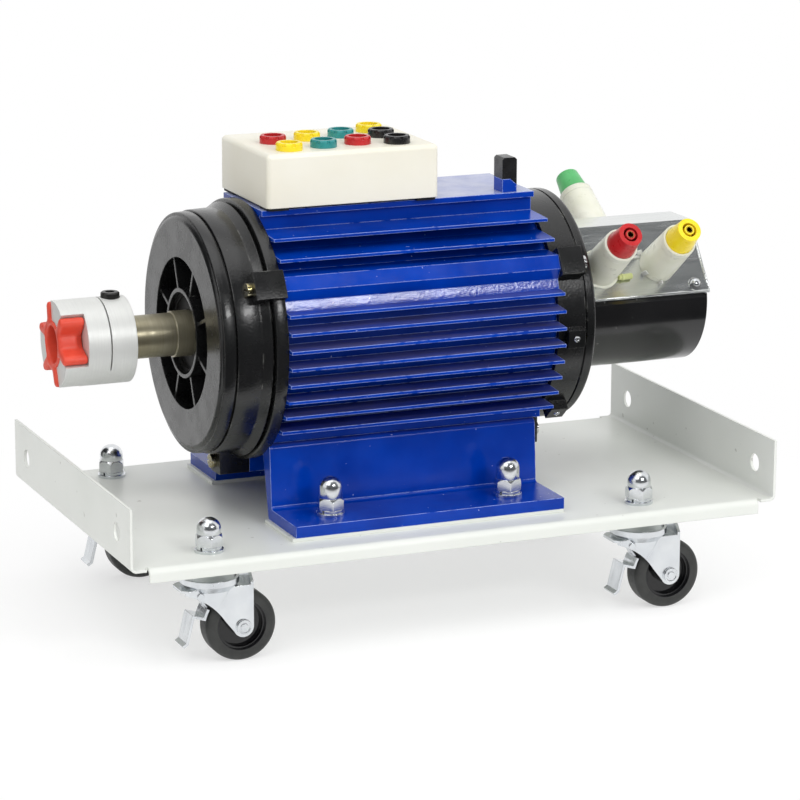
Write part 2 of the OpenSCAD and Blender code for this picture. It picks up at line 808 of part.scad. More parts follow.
// Brake pedal: a narrow neck, a shoe about the tyre and a step plate with its toe turned down
module pedal() {
    neck_w = 7;
    step_w = wheel_w - 2;
    hinge_half = leg_in - slide_gap;
    shoe_r = wheel_d / 2 + 1.2 + pedal_sheet / 2;
    shoe = [for (turn = [150, 157.5, 165]) leg_axle + shoe_r * [cos(turn), sin(turn)]];
    step = shoe[2] + [-8, 2.5];
    toe = [step.x - 4.5, axle_z - 9];
    lip = toe + [-3, -2];
    difference() {
        union() {
            rod_y(pivot.x, pivot.y, knuckle_r, -hinge_half, hinge_half);
            translate([0, neck_w / 2, 0]) rotate([90, 0, 0]) linear_extrude(neck_w)
                folded([pivot, shoe[0], shoe[1]], pedal_sheet - 0.3);
            translate([0, step_w / 2, 0]) rotate([90, 0, 0]) linear_extrude(step_w)
                folded(concat(shoe, [step, toe, lip]), pedal_sheet);
        }
        rod_y(pivot.x, pivot.y, pivot_r + running_gap, -leg_out, leg_out);
    }
}

module caster_fork(corner) {
    color([0.82, 0.83, 0.85]) place() translate(caster_spots[corner]) fork();
}

module caster_wheel(corner) {
    color([0.14, 0.14, 0.15]) place() translate(caster_spots[corner]) wheel();
}

module brake_pedal(corner) {
    color([0.78, 0.79, 0.81]) place() translate(caster_spots[corner]) pedal();
}

// Motor frame

// One fin on the +Y side, from inside the barrel to the tip circle
module fin(level) {
    root = sqrt(pow(barrel_r, 2) - pow(level, 2)) - 3;
    reach = sqrt(pow(fin_circle_r, 2) - pow(level, 2));
    polygon([
        [root, level + fin_root / 2], [reach, level + fin_tip / 2],
        [reach, level - fin_tip / 2], [root, level - fin_root / 2]
    ]);
}

// Block that the upper shield screws bite into, with the sloping band under it
module lug_block() {
    out = lug_circle_r - 3.5;
    band = out - 4.2;
    block_low = fin_start + 8.5;
    block_peak = fin_start + 16.4;
    block_top = fin_start + 25.5;
    polygon([
        [barrel_r - 20, block_top], [band, block_top], [out, block_peak], [band, block_low],
        [band, fin_start], [barrel_r - 12, fin_start]
    ]);
}

module frame_section() {
    neck_half = pad_width / 2 - 5;
    rail_top = -foot_drop;
    rail_in = foot_wall_out - foot_wall_top + 1;
    rail_out = foot_wall_out - 4.5;
    circle(r = barrel_r);
    for (side = [0, 1]) mirror([side, 0]) {
        for (k = [0:7]) fin(fin_start - k * fin_pitch);
        for (k = [0, 1]) fin(upper_fin + k * fin_pitch);
        lug_block();
        translate([rail_in, rail_top]) square([rail_out - rail_in, -rail_top - barrel_r / 2]);
    }
    translate([-pad_width / 2, pad_height - pad_edge]) square([pad_width, pad_edge]);
    translate([-neck_half, upper_fin]) square([2 * neck_half, pad_height - upper_fin]);
    translate([-lug_width / 2, -low_lug_r - low_lug_wall])
        square([lug_width, low_lug_r + low_lug_wall - barrel_r / 2]);
}

function lug_place(angle) = polar(angle == 270 ? low_lug_r : lug_circle_r, angle);

module motor_frame() {
    color([0.05, 0.17, 0.6]) place() difference() {
        along_shaft(frame_x0, frame_length) frame_section();
        rod_x(frame_x0 - 1, frame_length + 2, frame_bore_r);
        for (angle = main_lugs) {
            rod_x(frame_x0 - 1, screw_bite + 2, screw_bite_r, lug_place(angle));
            rod_x(frame_x1 - screw_bite - 1, screw_bite + 2, screw_bite_r, lug_place(angle));
        }
    }
}

// Boss on the pad with one upper edge cut, and the plug that follows the cut
boss_cut = [5, 4.2];
plug_stem_r = 2.4;
plug_stem = 3.5;

// Stands a piece, drawn as a section in X and Z, on the pad at the boss
module on_boss(lift) {
    translate([boss_x, boss_d / 2 - boss_side, pad_top + lift]) rotate([90, 0, 0]) linear_extrude(boss_d)
        children();
}

module plug_boss() {
    half = boss_w / 2;
    color([0.05, 0.17, 0.6]) place() difference() {
        on_boss(0) polygon([
            [-half, 0], [half, 0], [half, boss_height - boss_cut.y], [half - boss_cut.x, boss_height],
            [-half, boss_height]
        ]);
        translate([boss_x - boss_cut.x / 2, -boss_side, pad_top + boss_height - plug_stem - 1])
            cylinder(h = plug_stem + 2, r = plug_stem_r + seat_gap);
    }
}

module frame_plug() {
    half = boss_w / 2;
    bevel = 1.5;
    top = boss_height + plug_height;
    color([0.1, 0.1, 0.11]) place() {
        on_boss(seat_gap) polygon([
            [-half, boss_height], [half - boss_cut.x, boss_height], [half, boss_height - boss_cut.y],
            [half, top - bevel], [half - bevel, top], [bevel - half, top], [-half, top - bevel]
        ]);
        translate([boss_x - boss_cut.x / 2, -boss_side, pad_top + boss_height - plug_stem])
            cylinder(h = plug_stem + 1, r = plug_stem_r);
    }
}

module stator_core() {
    color([0.55, 0.56, 0.58]) place() along_shaft(core_x0, core_length) difference() {
        circle(r = frame_bore_r - seat_gap);
        circle(r = stator_bore_r);
        slot_ring(stator_slots, stator_bore_r + 3, 0);
        for (i = [0:stator_slots - 1]) rotate((i + 0.5) * 360 / stator_slots)
            translate([stator_bore_r - 1, -1]) square([5, 2]);
    }
}

// Ring of slots, or of the coil sides that lie in them
module slot_ring(count, r, inset) {
    for (i = [0:count - 1]) rotate((i + 0.5) * 360 / count)
        translate([r + inset, inset - slot_w / 2]) square([slot_depth - 2 * inset, slot_w - 2 * inset]);
}

// End turns: a ring with rounded edges
module end_ring(x0, length, r0, r1) {
    edge = 4;
    turned(x0) {
        translate([r0, edge]) square([r1 - r0, length - 2 * edge]);
        translate([r0 + edge, 0]) square([r1 - r0 - 2 * edge, length]);
        for (r = [r0 + edge, r1 - edge]) for (h = [edge, length - edge]) translate([r, h]) circle(r = edge);
    }
}

module stator_winding() {
    r0 = stator_bore_r + 3;
    r1 = r0 + slot_depth;
    color([0.72, 0.4, 0.2]) place() {
        along_shaft(core_x0 - 6, core_length + 12) slot_ring(stator_slots, r0, slot_clear);
        end_ring(core_x0 - end_turns, end_turns - 1, r0, r1);
        end_ring(core_x1 + 1, end_turns - 1, r0, r1);
    }
}

// End shields

module lug_box(angle, depth, at) {
    r = angle == 270 ? low_lug_r : lug_circle_r;
    intersection() {
        along_shaft(at, depth) rotate(angle) translate([shield_r - 6, -lug_width / 2])
            square([r + 9 - shield_r + 6, lug_width]);
        rod_x(at, depth, r + 8.5);
    }
}

module drive_profile() {
    edge = 4;
    seat_x = recess_depth + abutment;
    polygon([
        [hub_bore_r, 0], [hub_ring_r, 0], [hub_ring_r, recess_depth], [recess_r, recess_depth], [recess_r, 0],
        [shield_r - edge, 0], [shield_r, edge], [shield_r, drive_depth], [spigot_r, drive_depth],
        [spigot_r, drive_depth + spigot_depth], [spigot_r - spigot_wall, drive_depth + spigot_depth],
        [spigot_r - spigot_wall, drive_depth - 3], [shield_r - shield_wall, drive_depth - 6],
        [shield_r - shield_wall, shield_wall], [recess_r + shield_wall, shield_wall],
        [recess_r + shield_wall, recess_depth + shield_wall], [boss_out_r, recess_depth + shield_wall],
        [boss_out_r, seat_x + bearing_w], [bearing_seat_r, seat_x + bearing_w],
        [bearing_seat_r, seat_x], [abutment_r, seat_x],
        [abutment_r, recess_depth], [hub_bore_r, recess_depth]
    ]);
    translate([shield_r - edge, edge]) circle(r = edge);
}

module groove(x) {
    translate([shield_r - groove_depth, x]) square([groove_depth + 1, groove_w]);
}

module drive_end_shield() {
    color([0.13, 0.13, 0.14]) place() difference() {
        union() {
            turned(drive_face) difference() {
                drive_profile();
                groove(recess_depth - 2);
                groove(drive_depth - 11);
            }
            for (i = [0:rib_count - 1])
                along_shaft(drive_face + 2, recess_depth - 2 + eps) rotate((i + 0.5) * 360 / rib_count)
                    translate([hub_ring_r - 1, -rib_t / 2]) square([recess_r - hub_ring_r + 2, rib_t]);
            for (angle = main_lugs) lug_box(angle, lug_length, frame_x0 - lug_length);
        }
        for (angle = main_lugs) rod_x(drive_face, drive_depth + 1, screw_hole_r, lug_place(angle));
    }
}

module rear_profile() {
    edge = 3;
    disc = rear_depth - abutment - bearing_w;
    polygon([
        [collar_d / 2 + 2, rear_depth], [shield_r - edge, rear_depth], [shield_r, rear_depth - edge],
        [shield_r, 0], [spigot_r, 0], [spigot_r, -spigot_depth], [spigot_r - spigot_wall, -spigot_depth],
        [spigot_r - spigot_wall, 2], [shield_r - shield_wall, 5], [shield_r - shield_wall, rear_depth - disc],
        [boss_out_r, rear_depth - disc], [boss_out_r, abutment], [bearing_seat_r, abutment],
        [bearing_seat_r, abutment + bearing_w], [collar_d / 2 + 2, abutment + bearing_w]
    ]);
    translate([shield_r - edge, rear_depth - edge]) circle(r = edge);
}

module rear_end_shield() {
    side_lug_length = 13;
    side_lug_shift = 4.5;
    side_lug_w = 13;
    side_lug_reach = 11;
    color([0.13, 0.13, 0.14]) place() difference() {
        union() {
            turned(frame_x1) difference() {
                rear_profile();
                groove(rear_depth - 9);
            }
            for (angle = main_lugs) lug_box(angle, lug_length - 4, frame_x1);
            for (angle = side_lugs) along_shaft(frame_x1 + side_lug_shift, side_lug_length) rotate(angle)
                translate([shield_r - 4, -side_lug_w / 2]) square([side_lug_reach, side_lug_w]);
        }
        for (angle = main_lugs) rod_x(frame_x1 - 1, rear_depth + 1, screw_hole_r, lug_place(angle));
        for (i = [0:2]) rod_x(rear_face - 4, 5, screw_bite_r * 0.6, polar(cover_r - 5, 210 + 60 * i));
    }
}

// A cheese-head screw with its head at x, pointing along +X or -X
module screw_x(x, length, at, way, size = 1) {
    head_h = screw_head_h * size;
    translate([x, at.x, axis_z + at.y]) rotate([0, 90 * way, 0]) {
        difference() {
            translate([0, 0, -head_h]) cylinder(h = head_h, r = screw_head_r * size);
            translate([-0.6 * size, -screw_head_r, -head_h - 1])
                cube([1.2 * size, 2 * screw_head_r, 1 + 1.2 * size]);
        }
        translate([0, 0, -eps]) cylinder(h = length + eps, d = screw_d * size);
    }
}

// A small hexagon screw standing on one face of the hood
module hood_screw() {
    small = screw_d * 0.6;
    cylinder(h = 2.8, r = small, $fn = 6);
    translate([0, 0, -hood_sheet - cover_sheet]) cylinder(h = hood_sheet + cover_sheet + eps, r = small / 2);
    cylinder(h = 0.8, r = small * 1.35);
}

module machine_screws() {
    color([0.7, 0.71, 0.73]) place() {
        for (angle = main_lugs) {
            screw_x(frame_x0 - lug_length, lug_length + screw_bite, lug_place(angle), 1);
            screw_x(frame_x1 + lug_length - 4, lug_length - 4 + screw_bite, lug_place(angle), -1);
        }
        for (i = [0:2])
            screw_x(rear_face + cover_sheet, cover_sheet + 3, polar(cover_r - 5, 210 + 60 * i), -1, 0.6);
        for (x = hood_screw_x) for (side = [-1, 1]) on_hood(x, hood_face - 7, side) hood_screw();
    }
}

// Bearings and seal

module race_section() {
    difference() {
        children();
        translate([ball_pitch_r, bearing_w / 2]) circle(r = race_groove_r);
    }
}

module bearing_outer_rings() {
    color([0.7, 0.71, 0.73]) place() for (x = [drive_bearing_x, rear_bearing_x]) turned(x) race_section()
        translate([outer_race_r, 0]) square([bearing_r - outer_race_r, bearing_w]);
}

module bearing_inner_rings() {
    color([0.7, 0.71, 0.73]) place() for (x = [drive_bearing_x, rear_bearing_x]) turned(x) race_section()
        translate([bearing_bore / 2 + seat_gap, 0])
            square([inner_race_r - bearing_bore / 2 - seat_gap, bearing_w]);
}

// Balls and the cage rings that space them
module bearing_balls() {
    cage_t = 2.4;
    cage_w = 2 * ball_r + 1;
    color([0.72, 0.66, 0.45]) place() for (x = [drive_bearing_x, rear_bearing_x]) {
        spots = [for (i = [0:ball_count - 1]) polar(ball_pitch_r, i * 360 / ball_count)];
        difference() {
            turned(x + bearing_w / 2) translate([ball_pitch_r - cage_t / 2, -cage_w / 2])
                square([cage_t, cage_w]);
            for (p = spots) translate([x + bearing_w / 2, p.x, axis_z + p.y]) sphere(r = ball_r + 0.12);
        }
        for (p = spots) translate([x + bearing_w / 2, p.x, axis_z + p.y]) sphere(r = ball_r);
    }
}

module shaft_seal() {
    seal_x = 4;
    seal_w = recess_depth - seal_x;
    lip_r = collar_d / 2 + running_gap;
    color([0.08, 0.08, 0.08]) place() turned(drive_face + seal_x) {
        translate([hub_bore_r - 3 - seat_gap, 0]) square([3, seal_w]);
        translate([lip_r, 1.5]) square([hub_bore_r - lip_r - 1, 2.5]);
        translate([lip_r, 1.5]) square([2, seal_w - 3]);
    }
}

// Shaft, rotor and slip rings

module shaft() {
    collar_x = drive_face - 7.5;
    color([0.55, 0.53, 0.46]) place() turned(0) polygon([
        [0, coupling_x0 + 2], [shaft_d / 2 - 1, coupling_x0 + 2], [shaft_d / 2, coupling_x0 + 3],
        [shaft_d / 2, collar_x], [collar_d / 2, collar_x], [collar_d / 2, drive_bearing_x],
        [bearing_bore / 2, drive_bearing_x], [bearing_bore / 2, drive_bearing_x + bearing_w],
        [bearing_bore / 2 + 2.5, drive_bearing_x + bearing_w], [bearing_bore / 2 + 2.5, core_x0],
        [spider_shaft_r, core_x0], [spider_shaft_r, core_x1], [bearing_bore / 2 + 2.5, core_x1],
        [bearing_bore / 2 + 2.5, rear_bearing_x], [bearing_bore / 2, rear_bearing_x],
        [bearing_bore / 2, rear_bearing_x + bearing_w], [collar_d / 2, rear_bearing_x + bearing_w],
        [collar_d / 2, shaft_end - 1], [collar_d / 2 - 1, shaft_end], [0, shaft_end]
    ]);
}

module rotor_core() {
    color([0.5, 0.51, 0.53]) place() along_shaft(core_x0, core_length) difference() {
        circle(r = rotor_r);
        circle(r = spider_shaft_r + seat_gap);
        slot_ring(rotor_slots, rotor_r - slot_depth - 2, 0);
        for (i = [0:rotor_slots - 1]) rotate((i + 0.5) * 360 / rotor_slots)
            translate([rotor_r - 4, -0.8]) square([6, 1.6]);
    }
}

module rotor_winding() {
    r0 = rotor_r - slot_depth - 2;
    color([0.72, 0.4, 0.2]) place() {
        along_shaft(core_x0 - 6, core_length + 12) slot_ring(rotor_slots, r0, slot_clear);
        end_ring(core_x0 - end_turns + 4, end_turns - 5, r0, r0 + slot_depth);
        end_ring(core_x1 + 1, end_turns - 5, r0, r0 + slot_depth);
    }
}

module slip_ring_sleeve() {
    color([0.35, 0.2, 0.12]) place() turned(sleeve_x0) translate([collar_d / 2 + seat_gap, 0])
        square([sleeve_r - collar_d / 2 - seat_gap, sleeve_x1 - sleeve_x0]);
}

module slip_rings() {
    color([0.8, 0.6, 0.3]) place() for (x = ring_centres) turned(x - ring_w / 2)
        translate([sleeve_r + seat_gap, 0]) square([ring_r - sleeve_r - seat_gap, ring_w]);
}

// Coupling: three jaws, and a spider with two legs in each gap between them

module sector(r0, r1, angle) {
    far = 3 * r1;
    intersection() {
        difference() {
            circle(r = r1);
            circle(r = r0);
        }
        polygon([[0, 0], far * [cos(angle / 2), sin(angle / 2)], far * [cos(angle / 2), -sin(angle / 2)]]);
    }
}

jaw_core_r = coupling_d * 0.268;
jaw_gap = 120 - jaw_angle;

module coupling_hub() {
    bore_r = shaft_d / 2 + seat_gap;
    hub_end = jaw_length + coupling_hub_length;
    slit_x = coupling_x0 + coupling_hub_length * 0.455;
    slit_depth = coupling_d / 6;
    slit_land = 4;
    color([0.86, 0.87, 0.88]) place() difference() {
        turned(jaw_x0) polygon([
            [jaw_core_r, 0], [coupling_d / 2, 0], [coupling_d / 2, hub_end], [bore_r, hub_end],
            [bore_r, jaw_length], [jaw_core_r, jaw_length]
        ]);
        for (i = [0:2]) along_shaft(jaw_x0 - 1, jaw_length + 1) rotate(gap_turn + 120 * i)
            sector(0, coupling_d, jaw_gap);
        along_shaft(slit_x, 1) rotate(129) difference() {
            translate([slit_land, -coupling_d]) square(2 * coupling_d);
            circle(r = coupling_d / 2 - slit_depth);
        }
        translate([clamp_x, 0, axis_z + shaft_d / 2 - 1])
            cylinder(h = coupling_d, r = clamp_shank_r + seat_gap);
        translate([clamp_x, 0, axis_z + coupling_d / 2 - clamp_sink])
            cylinder(h = coupling_d, d = clamp_head_d + 0.6);
    }
}

clamp_x = coupling_x1 - coupling_hub_length * 0.28;
clamp_shank_r = clamp_head_d * 0.3;
clamp_sink = 3;

module clamp_screw() {
    head_z = axis_z + coupling_d / 2 - clamp_sink;
    head_h = clamp_sink + clamp_stand;
    shank = coupling_d / 2 - clamp_sink - shaft_d / 2 - seat_gap;
    color([0.1, 0.1, 0.11]) place() translate([clamp_x, 0, head_z]) difference() {
        union() {
            cylinder(h = head_h - 0.8, d = clamp_head_d);
            translate([0, 0, head_h - 0.8]) cylinder(h = 0.8, d1 = clamp_head_d, d2 = clamp_head_d - 1.6);
            translate([0, 0, -shank]) cylinder(h = shank + eps, r = clamp_shank_r);
        }
        translate([0, 0, head_h - 3.5]) cylinder(h = 5, d = clamp_head_d * 0.53, $fn = 6);
    }
}

// One leg of the spider on the +Y side of its flank, with chamfered corners at its end
module spider_leg_section(root) {
    reach = coupling_d / 2 - 1;
    bevel = spider_leg * 0.3;
    low = slide_gap;
    high = slide_gap + spider_leg;
    polygon([
        [root, low], [reach - bevel, low], [reach, low + bevel], [reach, high - bevel], [reach - bevel, high],
        [root, high]
    ]);
}

module coupling_spider() {
    ring_out = jaw_core_r - slide_gap;
    web_step = 4;
    web_inset = 20;
    color([0.92, 0.28, 0.2]) place() {
        along_shaft(jaw_x0 - spider_face, jaw_length + spider_face - seat_gap) {
            difference() {
                circle(r = ring_out);
                circle(r = ring_out - spider_wall);
            }
            for (i = [0:2]) for (way = [0, 1]) rotate(gap_turn + 120 * i) mirror([0, way])
                rotate(-jaw_gap / 2) spider_leg_section(ring_out - spider_wall * 0.9);
        }
        along_shaft(jaw_x0 - spider_face, jaw_length + spider_face - web_step) for (i = [0:2])
            rotate(gap_turn + 120 * i) sector(ring_out - 1, ring_out + 2.5, jaw_gap - web_inset);
    }
}

// Slip-ring cover, a trough, and the hood that closes it

// Point of a sloping hood face, down from the ridge and in from its outside
function hood_point(run, depth) = [
    ridge_half + run * cos(hood_angle) - depth * sin(hood_angle),
    ridge_height - run * sin(hood_angle) - depth * cos(hood_angle)
];

// Corner under the ridge at a depth below the outside
function ridge_point(depth) = [ridge_half - depth * tan(hood_angle / 2), ridge_height - depth];

function flip(p) = [-p.x, p.y];

// Everything above the hood's inside
module roof_space(depth) {
    far = 3 * cover_r;
    low = hood_point(hood_face + 20, depth);
    polygon([
        low, ridge_point(depth), flip(ridge_point(depth)), flip(low),
        [-far, low.y], [-far, far], [far, far], [far, low.y]
    ]);
}

module slip_ring_cover() {
    inner_r = cover_r - cover_sheet;
    flap_top = hood_sheet + seat_gap;
    flap = flap_top + cover_sheet;
    flap_root = 2;
    seat_w = 12;
    color([0.06, 0.06, 0.07]) place() difference() {
        union() {
            along_shaft(rear_face, cover_length) difference() {
                circle(r = cover_r);
                circle(r = inner_r);
                roof_space(flap_top);
                translate([-2 * cover_r, gable_v]) square(4 * cover_r);
            }
            along_shaft(rear_face, cover_length - hood_sheet - slide_gap) for (side = [0, 1])
                mirror([side, 0]) polygon([
                    hood_point(hood_face + flap_root, flap_top), hood_point(hood_face + flap_root, flap),
                    hood_point(hood_face - flap_length, flap), hood_point(hood_face - flap_length, flap_top)
                ]);
            along_shaft(cover_end - cover_sheet, cover_sheet) intersection() {
                circle(r = cover_r - eps);
                translate([-2 * cover_r, gable_v - 2 * cover_r]) square([4 * cover_r, 2 * cover_r]);
            }
            along_shaft(rear_face, cover_sheet) difference() {
                circle(r = cover_r - eps);
                circle(r = cover_r - seat_w);
                translate([-2 * cover_r, 0]) square(4 * cover_r);
            }
        }
        for (i = [0:2]) rod_x(rear_face - 1, cover_sheet + 2, screw_d * 0.34, polar(cover_r - 5, 210 + 60 * i));
        for (x = hood_screw_x) for (side = [-1, 1]) on_hood(x, hood_face - 7, side)
            translate([0, 0, -3 * hood_sheet]) cylinder(h = 4 * hood_sheet, r = screw_d * 0.34);
    }
}

hood_screw_x = [rear_face + 8, cover_end - 8];

// Stands a piece on a sloping face of the hood: place along the shaft, distance down from the ridge, side
module on_hood(x, run, side) {
    p = hood_point(run, -seat_gap);
    translate([x, side * p.x, axis_z + p.y]) rotate([-side * hood_angle, 0, 0]) children();
}

terminal_spots = [
    [terminal_x - terminal_spacing / 2, front_terminal_drop, -1],
    [terminal_x + terminal_spacing / 2, front_terminal_drop, -1],
    [terminal_x + rear_terminal_shift, rear_terminal_drop, 1]
];

module terminal_hood() {
    half_sheet = hood_sheet / 2;
    color([0.6, 0.61, 0.6]) place() difference() {
        union() {
            along_shaft(rear_face, cover_length + hood_overhang) polygon([
                hood_point(hood_face, 0), ridge_point(0), flip(ridge_point(0)),
                flip(hood_point(hood_face, 0)), flip(hood_point(hood_face, hood_sheet)),
                flip(ridge_point(hood_sheet)), ridge_point(hood_sheet), hood_point(hood_face, hood_sheet)
            ]);
            along_shaft(cover_end - hood_sheet, hood_sheet) intersection() {
                polygon([
                    hood_point(hood_face + 1, half_sheet), ridge_point(half_sheet),
                    flip(ridge_point(half_sheet)), flip(hood_point(hood_face + 1, half_sheet))
                ]);
                translate([-2 * cover_r, gable_v]) square(4 * cover_r);
            }
        }
        for (s = terminal_spots) on_hood(s.x, s.y, s.z) translate([0, 0, -2 * hood_sheet])
            cylinder(h = 4 * hood_sheet, r = terminal_stem_r + seat_gap);
        for (x = hood_screw_x) for (side = [-1, 1]) on_hood(x, hood_face - 7, side)
            translate([0, 0, -2 * hood_sheet]) cylinder(h = 4 * hood_sheet, r = screw_d * 0.34);
    }
}

// Rotor terminals

tip_neck_r = 7.5;
tip_neck = 8;

// White body that tapers to its tip, with a stem through the hood and a nut below
module terminal_body() {
    difference() {
        union() {
            cylinder(h = terminal_body_length, r1 = terminal_body_r, r2 = terminal_neck_r);
            translate([0, 0, -terminal_stem]) cylinder(h = terminal_stem + eps, r = terminal_stem_r);
            translate([0, 0, -hood_sheet - 4.5]) cylinder(h = 4.5 - eps, r = terminal_stem_r + 2, $fn = 6);
        }
        translate([0, 0, terminal_body_length - tip_neck])
            cylinder(h = tip_neck + 1, r = tip_neck_r + seat_gap);
    }
}

// Coloured tip with a safety socket: shroud, ring gap and centre tube
module terminal_tip() {
    translate([0, 0, terminal_body_length]) difference() {
        union() {
            cylinder(h = tip_length, r1 = tip_root_r, r2 = tip_face_r);
            translate([0, 0, -tip_neck]) cylinder(h = tip_neck + eps, r = tip_neck_r);
        }
        translate([0, 0, tip_length - plug_depth]) cylinder(h = plug_depth + 1, r = plug_r);
        translate([0, 0, tip_length - socket_well]) difference() {
            cylinder(h = socket_well + 1, r = tip_well_r);
            translate([0, 0, -1]) cylinder(h = socket_well + 1, r = socket_tube_r);
        }
    }
}

module terminal_bodies() {
    color([0.92, 0.92, 0.88]) place() for (s = terminal_spots) on_hood(s.x, s.y, s.z) terminal_body();
}

module rotor_tip(i) {
    place() on_hood(terminal_spots[i].x, terminal_spots[i].y, terminal_spots[i].z) terminal_tip();
}

module red_terminal_tip() {
    color([0.75, 0.15, 0.15]) rotor_tip(0);
}

module yellow_terminal_tip() {
    color([0.95, 0.86, 0.12]) rotor_tip(1);
}

module green_terminal_tip() {
    color([0.4, 0.76, 0.45]) rotor_tip(2);
}

// Brush gear above the slip rings

module brush_holder() {
    bar_x1 = ring_centres[2] + brush_w / 2 + holder_wall;
    foot_t = 5;
    foot_half = holder_half + holder_wall;
    foot_low = sleeve_r + 3;
    color([0.3, 0.16, 0.1]) place() difference() {
        union() {
            along_shaft(rear_face, bar_x1 - rear_face) translate([-holder_half, holder_bottom])
                square([2 * holder_half, holder_top - holder_bottom]);
            along_shaft(rear_face, foot_t) translate([-foot_half, foot_low])
                square([2 * foot_half, holder_top - foot_low]);
        }
        for (x = ring_centres) along_shaft(x - brush_w / 2 - slide_gap, brush_w + 2 * slide_gap)
            translate([-brush_d / 2 - slide_gap, holder_bottom - 1])
                square([brush_d + 2 * slide_gap, pocket_top - holder_bottom + 1]);
    }
}

// A carbon brush, hollowed to its ring
module brush(i) {
    color([0.16, 0.16, 0.17]) place() difference() {
        along_shaft(ring_centres[i] - brush_w / 2, brush_w) translate([-brush_d / 2, brush_foot - 2])
            square([brush_d, brush_length + 2]);
        rod_x(ring_centres[i] - brush_w, 2 * brush_w, brush_foot);
    }
}

module brush_spring(i) {
    color([0.7, 0.71, 0.73]) place() translate([ring_centres[i], 0, axis_z + brush_top]) difference() {
        cylinder(h = spring_room, r = spring_r);
        translate([0, 0, -1]) cylinder(h = spring_room + 2, r = spring_r - spring_wire);
    }
}

// Terminal box and its sockets

box_x0 = -box_left;
box_mid = [box_x0 + box_length / 2, box_width / 2 - box_front];
socket_column = (box_length - socket_margin - socket_end) / 3;
columns = [for (i = [0:3]) box_x0 + socket_margin + i * socket_column];
red_spots = [[columns[0], socket_back], [columns[2], socket_front + 2 * row_slant]];
yellow_spots = [[columns[0], socket_front], [columns[1], socket_back + row_slant], [columns[3], socket_far]];
teal_spots = [[columns[1], socket_front + row_slant], [columns[2], socket_back + 2 * row_slant]];
black_spots = [[columns[3], socket_mid], [columns[3], socket_front]];
all_sockets = concat(red_spots, yellow_spots, teal_spots, black_spots);

module round_rect(length, width, r) {
    square([length - 2 * r, width], center = true);
    square([length, width - 2 * r], center = true);
    for (x = [-1, 1]) for (y = [-1, 1]) translate([x * (length / 2 - r), y * (width / 2 - r)]) circle(r = r);
}

module terminal_box() {
    inner_l = box_length - 2 * box_wall;
    inner_w = box_width - 2 * box_wall;
    corner_x = box_length / 2 - box_round;
    corner_y = box_width / 2 - box_round;
    color([0.92, 0.9, 0.84]) place() difference() {
        hull() for (x = [-1, 1]) for (y = [-1, 1])
            translate([box_mid.x + x * corner_x, box_mid.y + y * corner_y, box_floor]) {
                cylinder(h = 1, r = box_round, $fn = 32);
                translate([0, 0, box_height - box_round]) sphere(r = box_round, $fn = 32);
            }
        translate([box_mid.x, box_mid.y, box_floor - 1]) linear_extrude(box_height - box_wall + 1)
            round_rect(inner_l, inner_w, box_round);
        for (p = all_sockets) translate([p.x, p.y, box_top - box_wall - 1])
            cylinder(h = box_wall + 2, r = socket_shank_r + seat_gap);
    }
}

// Rubber pads between the frame's pad and the corners of the box
module box_pads() {
    pad_length = 16;
    pad_inset = 12;
    color([0.08, 0.08, 0.09]) place() translate([box_mid.x, box_mid.y, pad_top]) linear_extrude(box_pad_t)
        difference() {
            round_rect(box_length - 2, box_width - 2, box_round);
            square([box_length - 2 * pad_length, box_width], center = true);
            translate([0, -box_mid.y]) square([box_length, pad_width - 2 * pad_inset], center = true);
        }
}

// A safety socket: castellated collar, ring gap, centre tube, shank and nut inside the box
module safety_socket() {
    collar_r = socket_d / 2;
    notch_w = 2.4;
    notch_d = 0.8;
    crown_h = 2;
    difference() {
        union() {
            cylinder(h = socket_stand - 1, r = collar_r);
            translate([0, 0, socket_stand - 1 - eps])
                cylinder(h = 1 + eps, r1 = collar_r, r2 = collar_r - 0.8);
            translate([0, 0, -socket_shank]) cylinder(h = socket_shank + eps, r = socket_shank_r);
            translate([0, 0, -box_wall - 4]) cylinder(h = 4 - eps, r = socket_shank_r + 3, $fn = 6);
        }
        for (i = [0:socket_notches - 1]) rotate(i * 360 / socket_notches)
            translate([collar_r - notch_d, -notch_w / 2, socket_stand - crown_h]) cube([4, notch_w, 4]);
        translate([0, 0, socket_stand - plug_depth]) cylinder(h = plug_depth + 1, r = plug_r);
        translate([0, 0, socket_stand - socket_well]) difference() {
            cylinder(h = socket_well + 1, r = socket_well_r);
            translate([0, 0, -1]) cylinder(h = socket_well + 1 - tube_sink, r = socket_tube_r);
        }
    }
}

module sockets(spots) {
    place() for (p = spots) translate([p.x, p.y, box_top]) safety_socket();
}

module red_sockets() {
    color([0.78, 0.16, 0.22]) sockets(red_spots);
}

module yellow_sockets() {
    color([0.98, 0.88, 0.2]) sockets(yellow_spots);
}

module teal_sockets() {
    color([0.24, 0.58, 0.58]) sockets(teal_spots);
}

module black_sockets() {
    color([0.13, 0.13, 0.14]) sockets(black_spots);
}

base_plate();
foot_spacers();
front_foot();
rear_foot();
foot_bolts();
flat_washers();
lock_washers();
cap_nuts();
caster_heads();
motor_frame();
plug_boss();
frame_plug();
stator_core();
stator_winding();
drive_end_shield();
rear_end_shield();
machine_screws();
bearing_outer_rings();
shaft_seal();
slip_ring_cover();
terminal_hood();
terminal_bodies();
red_terminal_tip();
yellow_terminal_tip();
green_terminal_tip();
brush_holder();
terminal_box();
box_pads();
red_sockets();
yellow_sockets();
teal_sockets();
black_sockets();
shaft();
rotor_core();
rotor_winding();
slip_ring_sleeve();
slip_rings();
bearing_inner_rings();
coupling_hub();
coupling_spider();
clamp_screw();
bearing_balls();
brush(0);  // brush_1
brush(1);  // brush_2
brush(2);  // brush_3
brush_spring(0);  // brush_spring_1
brush_spring(1);  // brush_spring_2
brush_spring(2);  // brush_spring_3
caster_fork(0);  // fork_front_left
caster_fork(1);  // fork_front_right
